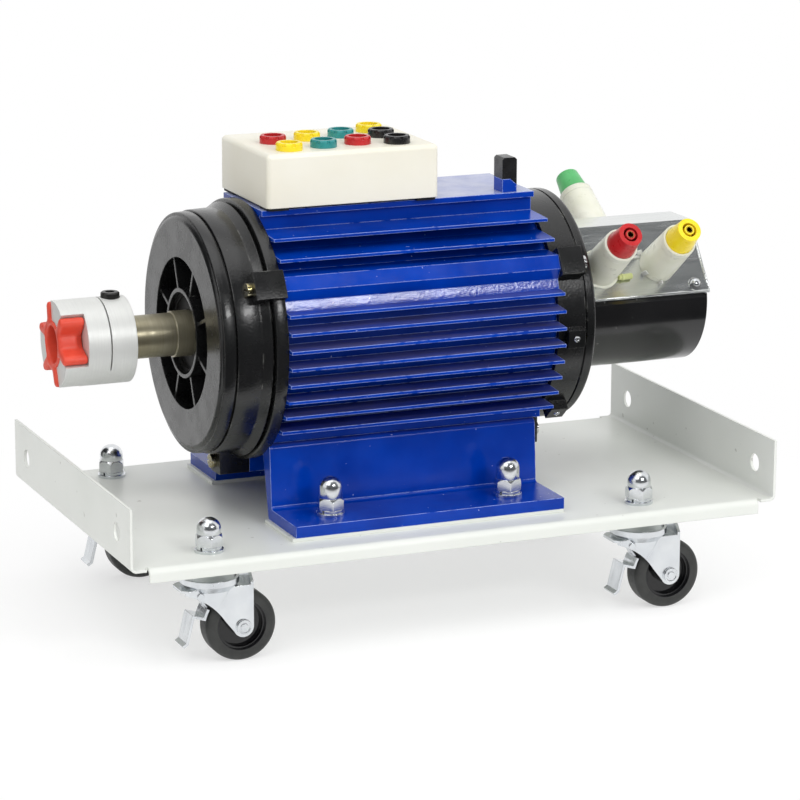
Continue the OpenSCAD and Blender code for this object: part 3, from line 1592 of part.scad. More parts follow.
caster_fork(2);  // fork_rear_left
caster_fork(3);  // fork_rear_right
caster_wheel(0);  // wheel_front_left
caster_wheel(1);  // wheel_front_right
caster_wheel(2);  // wheel_rear_left
caster_wheel(3);  // wheel_rear_right
brake_pedal(0);  // pedal_front_left
brake_pedal(1);  // pedal_front_right
brake_pedal(2);  // pedal_rear_left
brake_pedal(3);  // pedal_rear_right
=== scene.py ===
import bpy
import bmesh
import json
import math
from mathutils import Matrix, Vector


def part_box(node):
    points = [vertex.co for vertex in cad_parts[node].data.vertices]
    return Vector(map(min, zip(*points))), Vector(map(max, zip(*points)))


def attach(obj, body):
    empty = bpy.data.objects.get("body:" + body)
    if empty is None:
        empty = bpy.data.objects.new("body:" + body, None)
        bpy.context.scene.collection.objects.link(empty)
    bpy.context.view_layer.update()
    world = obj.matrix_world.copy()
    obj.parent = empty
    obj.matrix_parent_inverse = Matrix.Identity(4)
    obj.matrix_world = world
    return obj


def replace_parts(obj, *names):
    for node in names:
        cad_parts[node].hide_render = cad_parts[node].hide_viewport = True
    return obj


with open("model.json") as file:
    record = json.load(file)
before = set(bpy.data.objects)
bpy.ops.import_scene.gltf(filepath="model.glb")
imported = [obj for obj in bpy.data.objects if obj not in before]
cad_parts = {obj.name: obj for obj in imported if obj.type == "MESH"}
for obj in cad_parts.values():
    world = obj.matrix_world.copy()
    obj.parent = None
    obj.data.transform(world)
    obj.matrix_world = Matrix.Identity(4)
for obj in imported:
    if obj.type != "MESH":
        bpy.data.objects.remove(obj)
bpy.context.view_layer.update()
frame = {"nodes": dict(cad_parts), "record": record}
nodes = frame["nodes"]
print("frame loaded:", len(nodes), "nodes")


# Camera, at the place and angle of the photograph
cameraSetup = {
    "place": (-0.9196, -2.2112, 0.7328),
    "yaw": 22.84,      # turned to the right of straight ahead
    "pitch": 13.87,    # looking down
    "roll": 0.19,
    "lens": 156.27,    # on a 36 mm sensor and a square picture
}


def addCamera(setup):
    yaw, pitch, roll = (math.radians(setup[k]) for k in ("yaw", "pitch", "roll"))
    ahead = Vector((math.sin(yaw) * math.cos(pitch), math.cos(yaw) * math.cos(pitch), -math.sin(pitch)))
    level = Vector((math.cos(yaw), -math.sin(yaw), 0))
    upright = level.cross(ahead)
    right = level * math.cos(roll) + upright * math.sin(roll)
    up = upright * math.cos(roll) - level * math.sin(roll)
    data = bpy.data.cameras.new("photoCamera")
    data.lens = setup["lens"]
    data.sensor_width = 36
    obj = bpy.data.objects.new("photoCamera", data)
    turn = Matrix((right, up, -ahead)).transposed().to_4x4()
    obj.matrix_world = Matrix.Translation(setup["place"]) @ turn
    bpy.context.scene.collection.objects.link(obj)
    bpy.context.scene.camera = obj


addCamera(cameraSetup)
print("camera set")


# Numbers that all finishes share; pairs are the part of a noise that is used, from low to high
finishCommon = {
    "cloudPart": (0.35, 0.65), "noisePart": (0.3, 0.7), "speckSoft": 0.03, "edgeMarkSoft": 0.12,
    "edgePart": (0.995, 0.88), "edgeSamples": 6, "ior": 1.5, "coatRough": 0.1,
    "milkRadius": (1, 0.9, 0.75), "milkDepth": 0.003,
    "streakPart": (0.3, 0.75), "edgeLighten": 0.5, "beyondSoft": 0.002,
}


# Node helpers for the finishes
def paint(r, g, b):
    # a colour as seen on screen, 0 to 255, made linear
    def lin(c):
        c = c / 255
        return c / 12.92 if c <= 0.04045 else ((c + 0.055) / 1.055) ** 2.4
    return (lin(r), lin(g), lin(b), 1)


def addNode(tree, kind, inputs=None, **values):
    made = tree.nodes.new(kind)
    for key, value in values.items():
        setattr(made, key, value)
    for key, value in (inputs or {}).items():
        if isinstance(value, bpy.types.NodeSocket):
            tree.links.new(value, made.inputs[key])
        else:
            made.inputs[key].default_value = value
    return made


def newFinish(name):
    mat = bpy.data.materials.new(name)
    mat.use_nodes = True
    tree = mat.node_tree
    where = addNode(tree, "ShaderNodeTexCoord").outputs["Object"]
    return mat, tree, tree.nodes["Principled BSDF"], where


def stretched(tree, where, scale):
    return addNode(tree, "ShaderNodeMapping", {"Vector": where, "Scale": scale}).outputs["Vector"]


def noise(tree, where, scale, detail=2, rough=0.5):
    made = addNode(tree, "ShaderNodeTexNoise", {"Vector": where, "Scale": scale, "Detail": detail, "Roughness": rough})
    return made.outputs["Fac"]


def span(tree, value, low, high, toLow=0.0, toHigh=1.0):
    made = addNode(tree, "ShaderNodeMapRange", {
        "Value": value, "From Min": low, "From Max": high, "To Min": toLow, "To Max": toHigh})
    return made.outputs["Result"]


def math2(tree, how, a, b):
    return addNode(tree, "ShaderNodeMath", {0: a, 1: b}, operation=how).outputs[0]


def mixColour(tree, factor, a, b):
    made = addNode(tree, "ShaderNodeMix", {0: factor, 6: a, 7: b}, data_type="RGBA")
    return made.outputs[2]


def softEdge(tree, radius):
    # rounded edges for the shading, and a mask that is 1 on the edges
    bevel = addNode(tree, "ShaderNodeBevel", {"Radius": radius}, samples=finishCommon["edgeSamples"])
    bevel = bevel.outputs["Normal"]
    flat = addNode(tree, "ShaderNodeNewGeometry").outputs["Normal"]
    dot = addNode(tree, "ShaderNodeVectorMath", {0: bevel, 1: flat}, operation="DOT_PRODUCT").outputs["Value"]
    return bevel, span(tree, dot, *finishCommon["edgePart"])


def bump(tree, height, distance, strength, normal):
    made = addNode(tree, "ShaderNodeBump", {
        "Height": height, "Distance": distance, "Strength": strength, "Normal": normal})
    return made.outputs["Normal"]


def setShader(tree, shader, **sockets):
    for key, value in sockets.items():
        socket = shader.inputs[key.replace("_", " ")]
        if isinstance(value, bpy.types.NodeSocket):
            tree.links.new(value, socket)
        else:
            socket.default_value = value


# Dust on the faces that look up: some on the low fins, most on the pad
dustLook = {
    "lookUp": (0.55, 0.95), "finRise": 0.03, "finFall": 0.02, "padRise": 0.002,
    "streakScale": (14, 110, 110), "streakPart": (0.3, 0.65), "streakLeast": 0.25,
    "patchScale": 38, "patchRough": 0.6, "patchLeast": 0.55,
}


def dusted(tree, where, colour, s):
    d = dustLook
    facing = addNode(tree, "ShaderNodeNewGeometry").outputs["Normal"]
    lookUp = span(tree, addNode(tree, "ShaderNodeSeparateXYZ", {0: facing}).outputs["Z"], *d["lookUp"])
    height = addNode(tree, "ShaderNodeSeparateXYZ", {0: where}).outputs["Z"]
    low, high, top = s["dustHeights"]
    fins = math2(tree, "MULTIPLY", span(tree, height, low, low + d["finRise"]),
                 span(tree, height, high + d["finFall"], high))
    pad = span(tree, height, top, top + d["padRise"])
    lines = noise(tree, stretched(tree, where, d["streakScale"]), 1.0, 3)
    streaks = span(tree, lines, *d["streakPart"], d["streakLeast"], 1.0)
    amount = math2(tree, "MULTIPLY", math2(tree, "MULTIPLY", lookUp, fins), streaks)
    colour = mixColour(tree, math2(tree, "MULTIPLY", amount, s["finDust"]), colour, s["dust"])
    blots = noise(tree, where, d["patchScale"], 4, d["patchRough"])
    patches = span(tree, blots, *finishCommon["noisePart"], d["patchLeast"], 1.0)
    amount = math2(tree, "MULTIPLY", math2(tree, "MULTIPLY", lookUp, pad), patches)
    return mixColour(tree, math2(tree, "MULTIPLY", amount, s["padDust"]), colour, s["paleDust"])


# Paint and plastic: cloudy colour, fine surface, lighter edges (worn paint, and on the blue enamel also a painted
# highlight), specks
def coatFinish(name, s):
    mat, tree, shader, where = newFinish(name)
    cloud = span(tree, noise(tree, where, s["cloud"], 4), *finishCommon["cloudPart"])
    colour = mixColour(tree, cloud, s["colour"], s["shade"])
    if "speck" in s:
        speckTo = s["speckFrom"] + finishCommon["speckSoft"]
        dots = span(tree, noise(tree, where, s["speckScale"], 1), s["speckFrom"], speckTo)
        colour = mixColour(tree, dots, colour, s["speck"])
    if "dust" in s:
        colour = dusted(tree, where, colour, s)
    bevel, edge = softEdge(tree, s["edge"])
    # lighter patchy edges: worn paint, and on the blue enamel also a painted highlight where the edges catch the light
    if "edgeWearAndHighlight" in s:
        edgeMarkTo = s["edgeMarkFrom"] + finishCommon["edgeMarkSoft"]
        patchy = span(tree, noise(tree, where, s["edgeMarkScale"], 3), s["edgeMarkFrom"], edgeMarkTo)
        colour = mixColour(tree, math2(tree, "MULTIPLY", edge, patchy), colour, s["edgeWearAndHighlight"])
    fine = noise(tree, where, s["grain"], 3)
    rough = span(tree, noise(tree, where, s["cloud"] * 2.3, 3), *finishCommon["noisePart"], *s["rough"])
    normal = bump(tree, fine, s["depth"], s["strength"], bevel)
    setShader(tree, shader, Base_Color=colour, Roughness=rough, Normal=normal, IOR=finishCommon["ior"],
              Coat_Weight=s.get("coat", 0.0), Coat_Roughness=finishCommon["coatRough"],
              Specular_IOR_Level=s.get("specular", 0.5), Metallic=0.0)
    if "milky" in s:
        setShader(tree, shader, Subsurface_Weight=s["milky"], Subsurface_Radius=finishCommon["milkRadius"],
                  Subsurface_Scale=finishCommon["milkDepth"])
    return mat


# Metal: streaks along or around the piece, stains, a lighter colour on every edge
def metalFinish(name, s):
    mat, tree, shader, where = newFinish(name)
    cloud = span(tree, noise(tree, where, s["cloud"], 4), *finishCommon["cloudPart"])
    colour = mixColour(tree, cloud, s["colour"], s["shade"])
    if "beyond" in s:   # another colour past a place along the shaft
        along = addNode(tree, "ShaderNodeSeparateXYZ", {0: where}).outputs["X"]
        past = span(tree, along, s["beyond"], s["beyond"] + finishCommon["beyondSoft"])
        colour = mixColour(tree, past, colour, s["colourBeyond"])
    lines = noise(tree, stretched(tree, where, s["streak"]), 1.0, 3)
    tint = span(tree, lines, *finishCommon["streakPart"], 0.0, s["streakTint"])
    colour = mixColour(tree, tint, colour, s["dark"])
    bevel, edge = softEdge(tree, s["edge"])
    # every edge is mixed halfway towards the lighter colour
    colour = mixColour(tree, math2(tree, "MULTIPLY", edge, finishCommon["edgeLighten"]), colour, s["bright"])
    rough = span(tree, lines, *finishCommon["noisePart"], *s["rough"])
    normal = bump(tree, lines, s["depth"], s["strength"], bevel)
    setShader(tree, shader, Base_Color=colour, Metallic=s.get("metallic", 1.0), Roughness=rough, Normal=normal)
    return mat


coats = {
    "basePowder": {
        "colour": paint(232, 234, 229), "shade": paint(226, 229, 223), "cloud": 9, "rough": (0.3, 0.42),
        "grain": 1400, "depth": 0.00004, "strength": 0.35, "edge": 0.0007,
        "speck": paint(196, 197, 190), "speckScale": 170, "speckFrom": 0.76},
    "blueEnamel": {
        "colour": paint(0, 60, 172), "shade": paint(0, 49, 152), "cloud": 26, "rough": (0.12, 0.24),
        "grain": 480, "depth": 0.0001, "strength": 0.35, "edge": 0.0008, "specular": 0.22,
        "dust": paint(112, 104, 108), "paleDust": paint(214, 218, 232), "finDust": 0.55, "padDust": 0.66,
        "dustHeights": (0.12, 0.225, 0.288),
        "speck": paint(150, 165, 215), "speckScale": 330, "speckFrom": 0.775,
        # pale edges: scuffed paint plus a painted highlight along the fin tips and the block's lower edge
        "edgeWearAndHighlight": paint(166, 184, 244), "edgeMarkScale": 130, "edgeMarkFrom": 0.32},
    "blackEnamel": {
        "colour": paint(24, 24, 25), "shade": paint(17, 18, 18), "cloud": 30, "rough": (0.2, 0.32),
        "grain": 620, "depth": 0.0002, "strength": 0.6, "edge": 0.0009, "coat": 0.15,
        "speck": paint(60, 60, 58), "speckScale": 420, "speckFrom": 0.77,
        "edgeWearAndHighlight": paint(120, 120, 116), "edgeMarkScale": 90, "edgeMarkFrom": 0.56},
    "blackCover": {
        "colour": paint(24, 24, 25), "shade": paint(17, 17, 18), "cloud": 22, "rough": (0.14, 0.26),
        "grain": 300, "depth": 0.00005, "strength": 0.3, "edge": 0.0006, "coat": 0.3,
        "speck": paint(90, 90, 88), "speckScale": 260, "speckFrom": 0.79},
    "creamCase": {
        "colour": paint(238, 235, 222), "shade": paint(233, 229, 213), "cloud": 14, "rough": (0.36, 0.48),
        "grain": 1700, "depth": 0.00003, "strength": 0.35, "edge": 0.0008, "milky": 0.08},
    "whiteBody": {
        "colour": paint(232, 232, 218), "shade": paint(222, 223, 204), "cloud": 45, "rough": (0.26, 0.36),
        "grain": 900, "depth": 0.00003, "strength": 0.3, "edge": 0.0012, "milky": 0.2},
    "redPlastic": {
        "colour": paint(200, 40, 44), "shade": paint(184, 34, 38), "cloud": 90, "rough": (0.25, 0.36),
        "grain": 1500, "depth": 0.00003, "strength": 0.3, "edge": 0.0004, "milky": 0.04},
    "yellowPlastic": {
        "colour": paint(252, 228, 44), "shade": paint(246, 217, 30), "cloud": 90, "rough": (0.25, 0.36),
        "grain": 1500, "depth": 0.00003, "strength": 0.3, "edge": 0.0004, "milky": 0.04},
    "tealPlastic": {
        "colour": paint(50, 150, 150), "shade": paint(38, 134, 136), "cloud": 90, "rough": (0.25, 0.36),
        "grain": 1500, "depth": 0.00003, "strength": 0.3, "edge": 0.0004, "milky": 0.04},
    "greenPlastic": {
        "colour": paint(88, 184, 110), "shade": paint(78, 172, 98), "cloud": 70, "rough": (0.25, 0.36),
        "grain": 1500, "depth": 0.00003, "strength": 0.3, "edge": 0.0004, "milky": 0.04},
    "blackPlastic": {
        "colour": paint(32, 32, 33), "shade": paint(24, 24, 25), "cloud": 80, "rough": (0.22, 0.36),
        "grain": 1500, "depth": 0.00003, "strength": 0.3, "edge": 0.0004},
    "redRubber": {
        "colour": paint(230, 82, 60), "shade": paint(216, 68, 48), "cloud": 60, "rough": (0.36, 0.5),
        "grain": 900, "depth": 0.00004, "strength": 0.4, "edge": 0.0014, "milky": 0.12},
    "blackRubber": {
        "colour": paint(28, 28, 28), "shade": paint(20, 20, 20), "cloud": 60, "rough": (0.5, 0.65),
        "grain": 1200, "depth": 0.00005, "strength": 0.4, "edge": 0.0004},
    "limeSleeve": {
        "colour": paint(206, 212, 150), "shade": paint(190, 198, 128), "cloud": 120, "rough": (0.28, 0.4),
        "grain": 1500, "depth": 0.00003, "strength": 0.3, "edge": 0.0004, "milky": 0.15},
    "brownLaminate": {
        "colour": paint(96, 58, 34), "shade": paint(78, 44, 26), "cloud": 40, "rough": (0.4, 0.55),
        "grain": 800, "depth": 0.00005, "strength": 0.4, "edge": 0.0004},
    "carbonBlock": {
        "colour": paint(46, 46, 48), "shade": paint(34, 34, 36), "cloud": 70, "rough": (0.45, 0.6),
        "grain": 1600, "depth": 0.00006, "strength": 0.5, "edge": 0.0003},
    "blackOxide": {
        "colour": paint(34, 33, 32), "shade": paint(24, 24, 24), "cloud": 120, "rough": (0.3, 0.42),
        "grain": 1400, "depth": 0.00004, "strength": 0.4, "edge": 0.0004,
        "edgeWearAndHighlight": paint(110, 108, 104), "edgeMarkScale": 200, "edgeMarkFrom": 0.5},
}

coats["blueFillet"] = dict(coats["blueEnamel"], specular=0.85, rough=(0.12, 0.22), depth=0.0002, strength=0.7)

metals = {
    "zincSheet": {
        "colour": paint(228, 231, 233), "shade": paint(218, 222, 226), "dark": paint(186, 190, 196),
        "bright": paint(246, 247, 248), "cloud": 40, "streak": (60, 300, 60), "streakTint": 0.2,
        "rough": (0.2, 0.28), "depth": 0.00001, "strength": 0.12, "edge": 0.0006},
    "brightNut": {
        "colour": paint(228, 230, 232), "shade": paint(216, 219, 222), "dark": paint(170, 172, 176),
        "bright": paint(246, 247, 248), "cloud": 120, "streak": (300, 300, 1500), "streakTint": 0.15,
        "rough": (0.16, 0.26), "depth": 0.00002, "strength": 0.2, "edge": 0.0005},
    "turnedShaft": {
        "colour": paint(168, 162, 140), "shade": paint(150, 142, 116), "dark": paint(120, 112, 88),
        "bright": paint(216, 211, 194), "cloud": 30, "streak": (900, 30, 30), "streakTint": 0.3,
        "rough": (0.3, 0.4), "depth": 0.000008, "strength": 0.15, "edge": 0.0005, "metallic": 0.75},
    "hubAluminium": {
        "colour": paint(228, 229, 226), "shade": paint(220, 221, 218), "dark": paint(190, 191, 189),
        "bright": paint(246, 246, 245), "cloud": 30, "streak": (2600, 60, 60), "streakTint": 0.2,
        "rough": (0.4, 0.52), "depth": 0.00002, "strength": 0.25, "edge": 0.0006, "metallic": 0.35},
    "hoodSteel": {
        "colour": paint(230, 232, 231), "shade": paint(222, 225, 224), "dark": paint(186, 190, 190),
        "bright": paint(246, 247, 246), "cloud": 20, "streak": (40, 500, 500), "streakTint": 0.2,
        "rough": (0.2, 0.28), "depth": 0.00001, "strength": 0.15, "edge": 0.0006},
    "yellowZinc": {
        "colour": paint(208, 204, 186), "shade": paint(186, 172, 116), "dark": paint(120, 112, 84),
        "bright": paint(240, 238, 228), "cloud": 150, "streak": (400, 400, 400), "streakTint": 0.25,
        "rough": (0.16, 0.28), "depth": 0.00003, "strength": 0.3, "edge": 0.0004,
        "beyond": 0.09, "colourBeyond": paint(218, 220, 222)},
    "coreSteel": {
        "colour": paint(120, 121, 124), "shade": paint(98, 99, 102), "dark": paint(60, 60, 62),
        "bright": paint(180, 180, 182), "cloud": 30, "streak": (3000, 30, 30), "streakTint": 0.5,
        "rough": (0.35, 0.5), "depth": 0.00004, "strength": 0.4, "edge": 0.0004},
    "contactBrass": {
        "colour": paint(196, 160, 92), "shade": paint(172, 134, 70), "dark": paint(96, 72, 36),
        "bright": paint(236, 214, 160), "cloud": 200, "streak": (300, 300, 1600), "streakTint": 0.3,
        "rough": (0.2, 0.32), "depth": 0.00002, "strength": 0.25, "edge": 0.0002},
    "copperWire": {
        "colour": paint(198, 116, 66), "shade": paint(170, 92, 48), "dark": paint(96, 48, 24),
        "bright": paint(232, 168, 120), "cloud": 60, "streak": (60, 1600, 1600), "streakTint": 0.6,
        "rough": (0.28, 0.4), "depth": 0.0002, "strength": 0.6, "edge": 0.0005},
}

finishes = {name: coatFinish(name, s) for name, s in coats.items()}
finishes.update({name: metalFinish(name, s) for name, s in metals.items()})


# Caster wheel: grey-black tyre round a glossy black moulded centre
wheelLook = {
    "tyre": paint(58, 59, 57), "tyreShade": paint(46, 47, 46), "centre": paint(22, 22, 24),
    "rimRadius": 0.0176, "rimSoft": 0.0002, "cloud": 90, "grain": 700, "depth": 0.00006, "strength": 0.4,
    "tyreRough": (0.42, 0.58), "centreRough": 0.12, "edge": 0.0005,
}


def wheelFinish(node, s):
    low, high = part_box(node)
    mid = (low + high) / 2
    mat, tree, shader, where = newFinish("wheelRubber." + node[len("wheel_"):])
    local = addNode(tree, "ShaderNodeVectorMath", {0: where, 1: tuple(mid)}, operation="SUBTRACT").outputs[0]
    flat = addNode(tree, "ShaderNodeVectorMath", {0: local, 1: (1, 0, 1)}, operation="MULTIPLY").outputs[0]
    reach = addNode(tree, "ShaderNodeVectorMath", {0: flat}, operation="LENGTH").outputs["Value"]
    isTyre = span(tree, reach, s["rimRadius"] - s["rimSoft"], s["rimRadius"] + s["rimSoft"])
    cloud = span(tree, noise(tree, local, s["cloud"], 4), *finishCommon["cloudPart"])
    rubber = mixColour(tree, cloud, s["tyre"], s["tyreShade"])
    colour = mixColour(tree, isTyre, s["centre"], rubber)
    fine = noise(tree, local, s["grain"], 3)
    tyreRough = math2(tree, "MULTIPLY", isTyre, span(tree, fine, *finishCommon["noisePart"], *s["tyreRough"]))
    rough = math2(tree, "ADD", tyreRough, span(tree, isTyre, 0, 1, s["centreRough"], 0.0))
    bevel = softEdge(tree, s["edge"])[0]
    normal = bump(tree, fine, s["depth"], s["strength"], bevel)
    setShader(tree, shader, Base_Color=colour, Roughness=rough, Normal=normal)
    return mat


finishOf = {
    "basePowder": ["base_plate", "foot_spacers"],
    "blueEnamel": ["motor_frame", "plug_boss", "front_foot", "rear_foot"],
    "blackEnamel": ["drive_end_shield", "rear_end_shield"],
    "blackCover": ["slip_ring_cover"],
    "hoodSteel": ["terminal_hood"],
    "creamCase": ["terminal_box"],
    "whiteBody": ["terminal_bodies"],
    "redPlastic": ["red_sockets", "red_terminal_tip"],
    "yellowPlastic": ["yellow_sockets", "yellow_terminal_tip"],
    "tealPlastic": ["teal_sockets"],
    "greenPlastic": ["green_terminal_tip"],
    "blackPlastic": ["black_sockets", "frame_plug"],
    "redRubber": ["coupling_spider"],
    "blackRubber": ["box_pads", "shaft_seal"],
    "blackOxide": ["clamp_screw"],
    "hubAluminium": ["coupling_hub"],
    "turnedShaft": ["shaft", "bearing_outer_rings", "bearing_inner_rings", "bearing_balls"],
    "yellowZinc": ["machine_screws"],
    "brightNut": ["cap_nuts"],
    "zincSheet": ["foot_bolts", "flat_washers", "lock_washers", "caster_heads", "brush_spring_1",
                  "brush_spring_2", "brush_spring_3"],
    "coreSteel": ["stator_core", "rotor_core"],
    "copperWire": ["stator_winding", "rotor_winding", "slip_rings"],
    "brownLaminate": ["slip_ring_sleeve", "brush_holder"],
    "carbonBlock": ["brush_1", "brush_2", "brush_3"],
}
corners = ["front_left", "front_right", "rear_left", "rear_right"]
finishOf["zincSheet"] += [kind + "_" + c for kind in ("fork", "pedal") for c in corners]


def wear(obj, mat):
    obj.data.materials.clear()
    obj.data.materials.append(mat)


for finish, names in finishOf.items():
    for name in names:
        wear(nodes[name], finishes[finish])
for corner in corners:
    wear(nodes["wheel_" + corner], wheelFinish("wheel_" + corner, wheelLook))
print("finishes on", len(nodes), "nodes")


# New pieces: each starts as a bmesh, and is smoothed up to an edge angle at the end
def turnedPart(mesh, outline, place, axis, steps=40, closed=False):
    # spins an outline of (radius, height) pairs, in metres, round the axis at place
    old = set(mesh.verts)
    points = [mesh.verts.new((r, 0, h)) for r, h in outline]
    pairs = list(zip(points, points[1:] + (points[:1] if closed else [])))
    edges = [mesh.edges.new(pair) for pair in pairs]
    bmesh.ops.spin(mesh, geom=points + edges, cent=(0, 0, 0), axis=(0, 0, 1), angle=2 * math.pi,
                   steps=steps, use_merge=True)
    bmesh.ops.remove_doubles(mesh, verts=[v for v in mesh.verts if v not in old], dist=1e-6)
    made = [v for v in mesh.verts if v not in old]
    turn = Vector((0, 0, 1)).rotation_difference(Vector(axis)).to_matrix().to_4x4()
    bmesh.ops.transform(mesh, matrix=Matrix.Translation(place) @ turn, verts=made)


def stripPart(mesh, size, place, turn, rounding):
    # a small bar with rounded edges; turn is a 3 by 3 matrix
    made = bmesh.ops.create_cube(mesh, size=1)["verts"]
    bmesh.ops.scale(mesh, vec=size, verts=made)
    edges = list({e for v in made for e in v.link_edges})
    grown = bmesh.ops.bevel(mesh, geom=edges, offset=rounding, offset_type="OFFSET", affect="EDGES",
                            segments=2, profile=0.5, material=-1)
    made = list({v for v in made if v.is_valid} | set(grown["verts"]))
    bmesh.ops.transform(mesh, matrix=Matrix.Translation(place) @ turn.to_4x4(), verts=made)


def addPiece(mesh, name, finish, body, smoothTo=35):
    bmesh.ops.recalc_face_normals(mesh, faces=mesh.faces)
    data = bpy.data.meshes.new(name)
    mesh.to_mesh(data)
    mesh.free()
    data.shade_smooth()
    data.set_sharp_from_angle(angle=math.radians(smoothTo))
    piece = bpy.data.objects.new(name, data)
    bpy.context.scene.collection.objects.link(piece)
    wear(piece, finishes[finish])
    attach(piece, body)
    return piece


def millimetres(*values):
    return tuple(v / 1000 for v in values)


# Brass contact sleeves, one in each plug hole of the sockets and terminals
contactSleeve = {"inner": 0.002, "outer": 0.0027, "proud": 0.00012, "depth": 0.017, "lead": 0.0003}


def addContactSleeves(s):
    mesh = bmesh.new()
    top = s["proud"]
    ring = [(s["inner"], -s["depth"]), (s["inner"], top - s["lead"]), (s["inner"] + s["lead"], top),
            (s["outer"] - s["lead"] / 2, top), (s["outer"], top - s["lead"]), (s["outer"], -s["depth"])]
    for mount in frame["record"]["mounts"]:
        if mount["kind"] == "bore":
            turnedPart(mesh, ring, mount["pos_m"], mount["axis"], steps=28, closed=True)
    return addPiece(mesh, "contactSleeves", "contactBrass", "base")


addContactSleeves(contactSleeve)


# Places on the hood's faces: x, the run down from the ridge, the height off the sheet, all in mm
hoodForm = {"slope": 55, "ridgeHalf": 15.7, "ridgeTop": 258.5}


def hoodPlace(x, run, lift=0.0, side=-1):
    a = math.radians(hoodForm["slope"])
    y = hoodForm["ridgeHalf"] + run * math.cos(a) + lift * math.sin(a)
    return Vector(millimetres(x, side * y, hoodForm["ridgeTop"] - run * math.sin(a) + lift * math.cos(a)))


def hoodTurn(twist=0.0, lean=0.0):
    # rows to columns: along the hood, up its slope, off its face
    a = math.radians(hoodForm["slope"])
    frameAxes = Matrix(((1, 0, 0), (0, math.cos(a), math.sin(a)), (0, -math.sin(a), math.cos(a)))).transposed()
    spun = Matrix.Rotation(math.radians(twist), 3, "Z") @ Matrix.Rotation(math.radians(lean), 3, "X")
    return frameAxes @ spun


# Rounded shoulders where the coloured tips leave the white bodies, and the flange under the red one
terminalShoulder = {
    "bodyLength": 42, "spots": [(150.25, 33.5, -1), (196.25, 33.5, -1), (177.25, 19, 1)],
    "outline": [(10.7, -5.0), (10.7, 0.55), (11.15, 0.6), (11.6, 0.45), (12.0, 0.05), (12.28, -0.7),
                (12.4, -1.8), (12.44, -3.4), (12.46, -5.0)],
    "flange": [(5.4, 0.05), (5.4, 1.5), (14.7, 1.5), (15.1, 1.2), (15.1, 0.05)],
}


def addTerminalShoulders(s):
    mesh = bmesh.new()
    for x, run, side in s["spots"]:
        axis = (hoodPlace(x, run, 1, side) - hoodPlace(x, run, 0, side)).normalized()
        outline = [millimetres(*p) for p in s["outline"]]
        turnedPart(mesh, outline, hoodPlace(x, run, s["bodyLength"], side), axis, steps=64, closed=True)
    x, run, side = s["spots"][0]
    axis = (hoodPlace(x, run, 1, side) - hoodPlace(x, run, 0, side)).normalized()
    turnedPart(mesh, [millimetres(*p) for p in s["flange"]], hoodPlace(x, run, 0, side), axis, 64, True)
    return addPiece(mesh, "terminalShoulders", "whiteBody", "base", 50)


addTerminalShoulders(terminalShoulder)

# Solder tags by the terminals' feet, and the lime sleeve of the red one's lead
terminalTag = {
    "tags": [   # size along, up and off the hood, then x, run, lift, twist, lean
        ((1.0, 3.2, 7.0), (183.4, 40.4, 3.0), 35, 12),
        ((1.0, 3.0, 5.0), (194.6, 48.2, 2.0), 8, 10),
        ((9.0, 2.2, 1.4), (180.6, 26.5, 0.6), 0, 0),
        ((4.0, 3.4, 1.2), (184.0, 24.0, 2.6), 10, 20),
    ],
    "rounding": 0.3,
    "sleeve": [(0.0, 0.0), (1.5, 0.0), (1.9, 0.3), (1.9, 2.2), (2.5, 2.5), (2.5, 3.6), (2.2, 4.0), (2.2, 10.2),
               (1.9, 10.7), (1.3, 10.7), (1.3, 8.0), (0.0, 8.0)],
    "sleevePlace": (162.4, 42.0, 2.5), "sleeveWay": (1, 0.02, 0.05),
}


def addTerminalTags(s):
    mesh = bmesh.new()
    for size, (x, run, lift), twist, lean in s["tags"]:
        stripPart(mesh, millimetres(*size), hoodPlace(x, run, lift), hoodTurn(twist, lean), s["rounding"] / 1000)
    addPiece(mesh, "terminalTags", "hubAluminium", "base")
    mesh = bmesh.new()
    outline = [millimetres(*p) for p in s["sleeve"]]
    turnedPart(mesh, outline, hoodPlace(*s["sleevePlace"]), s["sleeveWay"], 32)
    return addPiece(mesh, "leadSleeve", "limeSleeve", "base")


addTerminalTags(terminalTag)

# Rolled hems along the hood's lower edges and down its right ends, bright where the sheet is bent
hoodHem = {
    "along": (126.6, 232.4), "run": 56.6, "lift": 0.15, "right": 232.0, "fall": (1.5, 56.0), "radius": 0.95,
    "tipRadius": 0.7, "tipLength": 0.4,   # of the rounded ends, as shares of the radius
}


def addHoodHem(s):
    mesh = bmesh.new()
    r = s["radius"] / 1000
    tip, bend = r * s["tipRadius"], r * s["tipLength"]
    for side in (-1, 1):
        edge = [hoodPlace(x, s["run"], s["lift"], side) for x in s["along"]]
        fall = [hoodPlace(s["right"], run, 0, side) for run in s["fall"]]
        for start, end in (edge, fall):
            way = end - start
            outline = [(0, 0.0), (tip, 0.0), (r, bend),
                       (r, way.length - bend), (tip, way.length), (0, way.length)]
            turnedPart(mesh, outline, start, way.normalized(), steps=16)
    return addPiece(mesh, "hoodHem", "hoodSteel", "base", 40)


addHoodHem(hoodHem)

# Domed heads on the hood's small screws
hoodScrew = {
    "x": (134.5, 222.0), "run": 50.74, "seat": 2.6,
    "outline": [(0, 1.9), (1.1, 1.8), (2.1, 1.45), (2.8, 0.9), (3.15, 0.2), (3.15, -0.4), (0, -0.4)],
}


def addHoodScrews(s):
    mesh = bmesh.new()
    for side in (-1, 1):
        for x in s["x"]:
            seat = hoodPlace(x, s["run"], s["seat"], side)
            axis = (seat - hoodPlace(x, s["run"], 0, side)).normalized()
            turnedPart(mesh, [millimetres(*p) for p in s["outline"]], seat, axis, steps=32)
    return addPiece(mesh, "hoodScrewHeads", "brightNut", "base")


addHoodScrews(hoodScrew)

